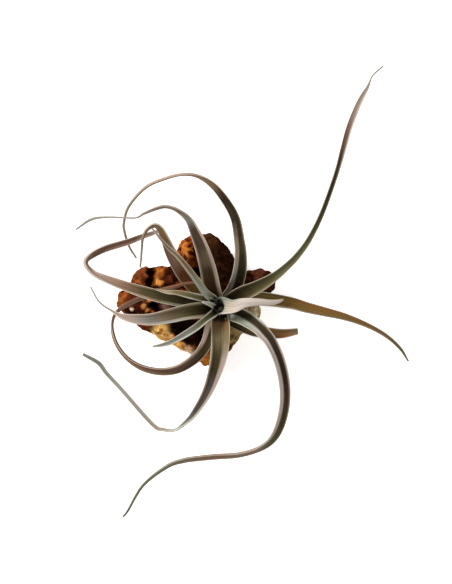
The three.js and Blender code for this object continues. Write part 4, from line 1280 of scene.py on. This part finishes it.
grow_leaf(
    "leaf_lower_left_loop",
    "leaf_mauve",
    [
        [-1.8, -3.7, 28.4, 9.2, 0, 115],
        [-2.4, -4.6, 32, 9, 2, 125],
        [-3.5, -7, 36, 8.7, 6],
        [-5, -11.5, 39, 8.6, 12],
        [-7.5, -18, 41.5, 8.2, 26],
        [-12.5, -24.5, 42.5, 7.8, 38],
        [-21, -30, 41.5, 7.2, 46],
        [-30, -31.5, 39, 6.6, 50],
        [-39, -29.8, 36.5, 5.8, 56],
        [-46.5, -25.4, 34.5, 4.8, 66],
        [-52, -18.5, 32.5, 4.4, 70],
        [-54.4, -11, 31.5, 3.9, 76],
        [-54, -5.5, 31.5, 3.5, 98],
        [-51.5, -1.7, 32, 3.2, 122],
        [-47.7, 1, 33, 3.1, 140],
        [-42.5, 3.6, 34.5, 3, 155],
        [-36.5, 6, 36.5, 2.7, 165],
        [-29, 9, 40.5, 2.3, 175],
        [-21.5, 11, 46, 1.8, 180],
        [-16, 12.5, 49.5, 1.3, 180],
        [-10, 12.5, 52, 0.8, 180],
    ],
    inner=[
        (0, DARK_OLIVE), (3, DARK_TAUPE), (4.5, OLIVE), (6, PLUM_BROWN), (9, BRONZE),
        (11, ROSY_BROWN), (13.5, ROSY_BROWN), (15, MAUVE_BROWN), (16.5, OLIVE_TAN), (18, RED_BROWN),
        (20, BRONZE),
    ],
    # Painted light: the pale pink near the base, outside and on the right margin, is paler than the leaf's
    # own pink, on a base that lies in shade under other leaves.
    outer=[
        (0, OLIVE_TAN), (2, PALE_PINK), (4, PALE_PINK), (5, MAUVE_GREY), (6, PLUM_BROWN),
        (8, PLUM_BROWN), (9, MAUVE_BROWN), (11, ROSY_BROWN), (13.5, ROSY_BROWN), (15, MAUVE_BROWN),
        (16.5, OLIVE_TAN), (18, RED_BROWN), (20, BRONZE),
    ],
    left=[
        (0, OLIVE_TAN), (3.5, OLIVE), (5, DARK_OLIVE), (7, TAUPE), (9, MAUVE_BROWN), (12, ROSY_BROWN),
        (15, MAUVE_BROWN), (20, BRONZE),
    ],
    right=[
        (0, PALE_PINK), (3.5, PALE_PINK), (4.7, MAUVE_GREY), (6, ROSY_BROWN), (8, PLUM_BROWN),
        (11, MAUVE_BROWN), (20, RED_BROWN),
    ],
    bands=(0.35, 0.9),
)
grow_leaf(
    "leaf_cut",
    "leaf_green",
    [
        [2.4, -3.4, 28.4, 9, 0, 115],
        [3.2, -4.2, 32, 8.8, 0, 125],
        [5.6, -5.8, 36.5, 8.6, 0],
        [10, -8, 40, 8.6, -5],
        [17, -11, 43, 7.8, -15],
        [24, -12, 44, 7.2, -20],
        [31, -12.5, 43.7, 6.2, -20],
        [39, -11.5, 42.8, 4, -20],
    ],
    inner=[(0, CROWN_SHADE_BLACK), (3, OLIVE), (4.5, DARK_TAUPE), (5.3, BRONZE), (6, ORANGE_BROWN), (7, OLIVE_TAN)],
    outer=[(0, OLIVE_TAN), (5, BEIGE), (7, OLIVE_TAN)],
    left=[(0, GREY_GREEN), (4, BEIGE), (5, GOLD_BROWN), (7, OLIVE_TAN)],
    right=[(0, CROWN_SHADE_BLACK), (4, DARK_OLIVE), (5, RED_BROWN), (6.2, COPPER), (7, BRONZE)],
    bands=(0.55, 0.3),
)
grow_leaf(
    "leaf_right",
    "leaf_green",
    [
        [4.1, 0.5, 28.4, 9, 0, 115],
        [4.7, 0.8, 32, 8.8, 2, 125],
        [7, 1.8, 36.5, 9, 5],
        [12.5, 3.6, 40.5, 9.6, 10],
        [21, 4.2, 44.5, 9.2, 13],
        [34.5, 2.3, 47.5, 8, 16],
        [43, 0, 48, 7.2, 18],
        [51.5, -2, 47.5, 6.2, 18],
        [62.5, -4.6, 45, 4.6, 14],
        [73.5, -8.6, 41, 3.2, 8],
        [83.5, -14, 36, 2.3, 3],
        [91, -20.5, 31, 1.7, 0],
        [95.5, -27, 26.5, 0.8, 0],
    ],
    inner=[
        (0, CROWN_SHADE_BLACK), (3, OLIVE), (5, GOLDEN_OLIVE), (6.5, GOLD_BROWN), (9, GOLD_BROWN), (10, BRONZE),
        (11, LEAF_GREEN), (12, OLIVE_TAN),
    ],
    outer=[(0, GREY_GREEN), (5, BEIGE), (9, OLIVE_TAN), (12, OLIVE_TAN)],
    left=[(0, OLIVE), (4.5, OLIVE), (6, COPPER), (9.5, COPPER), (12, LEAF_GREEN)],
    right=[
        (0, SILVER_GREEN), (4.5, BEIGE), (6, OLIVE_TAN), (8, OLIVE_TAN), (10, BEIGE),
        (12, LEAF_GREEN),
    ],
    bands=(0.25, 0.4),
)
bpy.data.objects.remove(crown)

# Floor, light and camera
# A plain white studio floor, a broad soft light above and to the left with a weaker one opposite, and
# the camera straight above the plant, as in the photograph.
FLOOR_REACH = 3000
FLOOR_DROP = 0.5  # how far it lies below the wood's sawn underside
PLANT_MIDDLE = (0, 0, 0.03)

# Matt white paper that glows a little, so that it comes out white with hardly a shadow.
floor_finish = bpy.data.materials.new("matt_white_paper")
floor_finish.use_nodes = True
shader = floor_finish.node_tree.nodes["Principled BSDF"]
shader.inputs["Base Color"].default_value = linear("#f4f4f2")
shader.inputs["Roughness"].default_value = 0.9
shader.inputs["Emission Color"].default_value = linear("#ffffff")
shader.inputs["Emission Strength"].default_value = 0.6
corners = [(x * FLOOR_REACH, y * FLOOR_REACH, -FLOOR_DROP) for x, y in ((-1, -1), (1, -1), (1, 1), (-1, 1))]
floor_mesh = bpy.data.meshes.new("floor")
floor_mesh.from_pydata(MM * np.array(corners), [], [(0, 1, 2, 3)])
floor_mesh.materials.append(floor_finish)
floor = new_piece("floor", floor_mesh)
floor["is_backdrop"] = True

world = bpy.data.worlds.new("studio")
world.use_nodes = True
backdrop = world.node_tree.nodes["Background"]
backdrop.inputs["Color"].default_value = linear("#ffffff")
backdrop.inputs["Strength"].default_value = 0.35
bpy.context.scene.world = world
bpy.context.scene.view_settings.view_transform = "Standard"


def soft_light(name, place, size, power):
    """A square soft light that faces the plant: its place and side in metres, its power in watts."""
    lamp = bpy.data.lights.new(name, "AREA")
    lamp.size = size
    lamp.energy = power
    holder = bpy.data.objects.new(name, lamp)
    holder.location = place
    holder.rotation_euler = (Vector(PLANT_MIDDLE) - Vector(place)).to_track_quat("-Z", "Y").to_euler()
    bpy.context.scene.collection.objects.link(holder)


soft_light("key", (-0.9, 0.6, 0.9), size=0.6, power=20)
soft_light("fill", (0.9, -0.5, 0.9), size=0.9, power=4)

# A long lens from 1.24 m up, which hardly enlarges the leaves that rise towards it.
lens = bpy.data.cameras.new("camera")
lens.sensor_width = 36
lens.lens = 147.9
lens.clip_start = 0.05
lens.clip_end = 20
camera = bpy.data.objects.new("camera", lens)
camera.location = (0.003, 0.008, 1.244)
bpy.context.scene.collection.objects.link(camera)
bpy.context.scene.camera = camera

low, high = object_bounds()
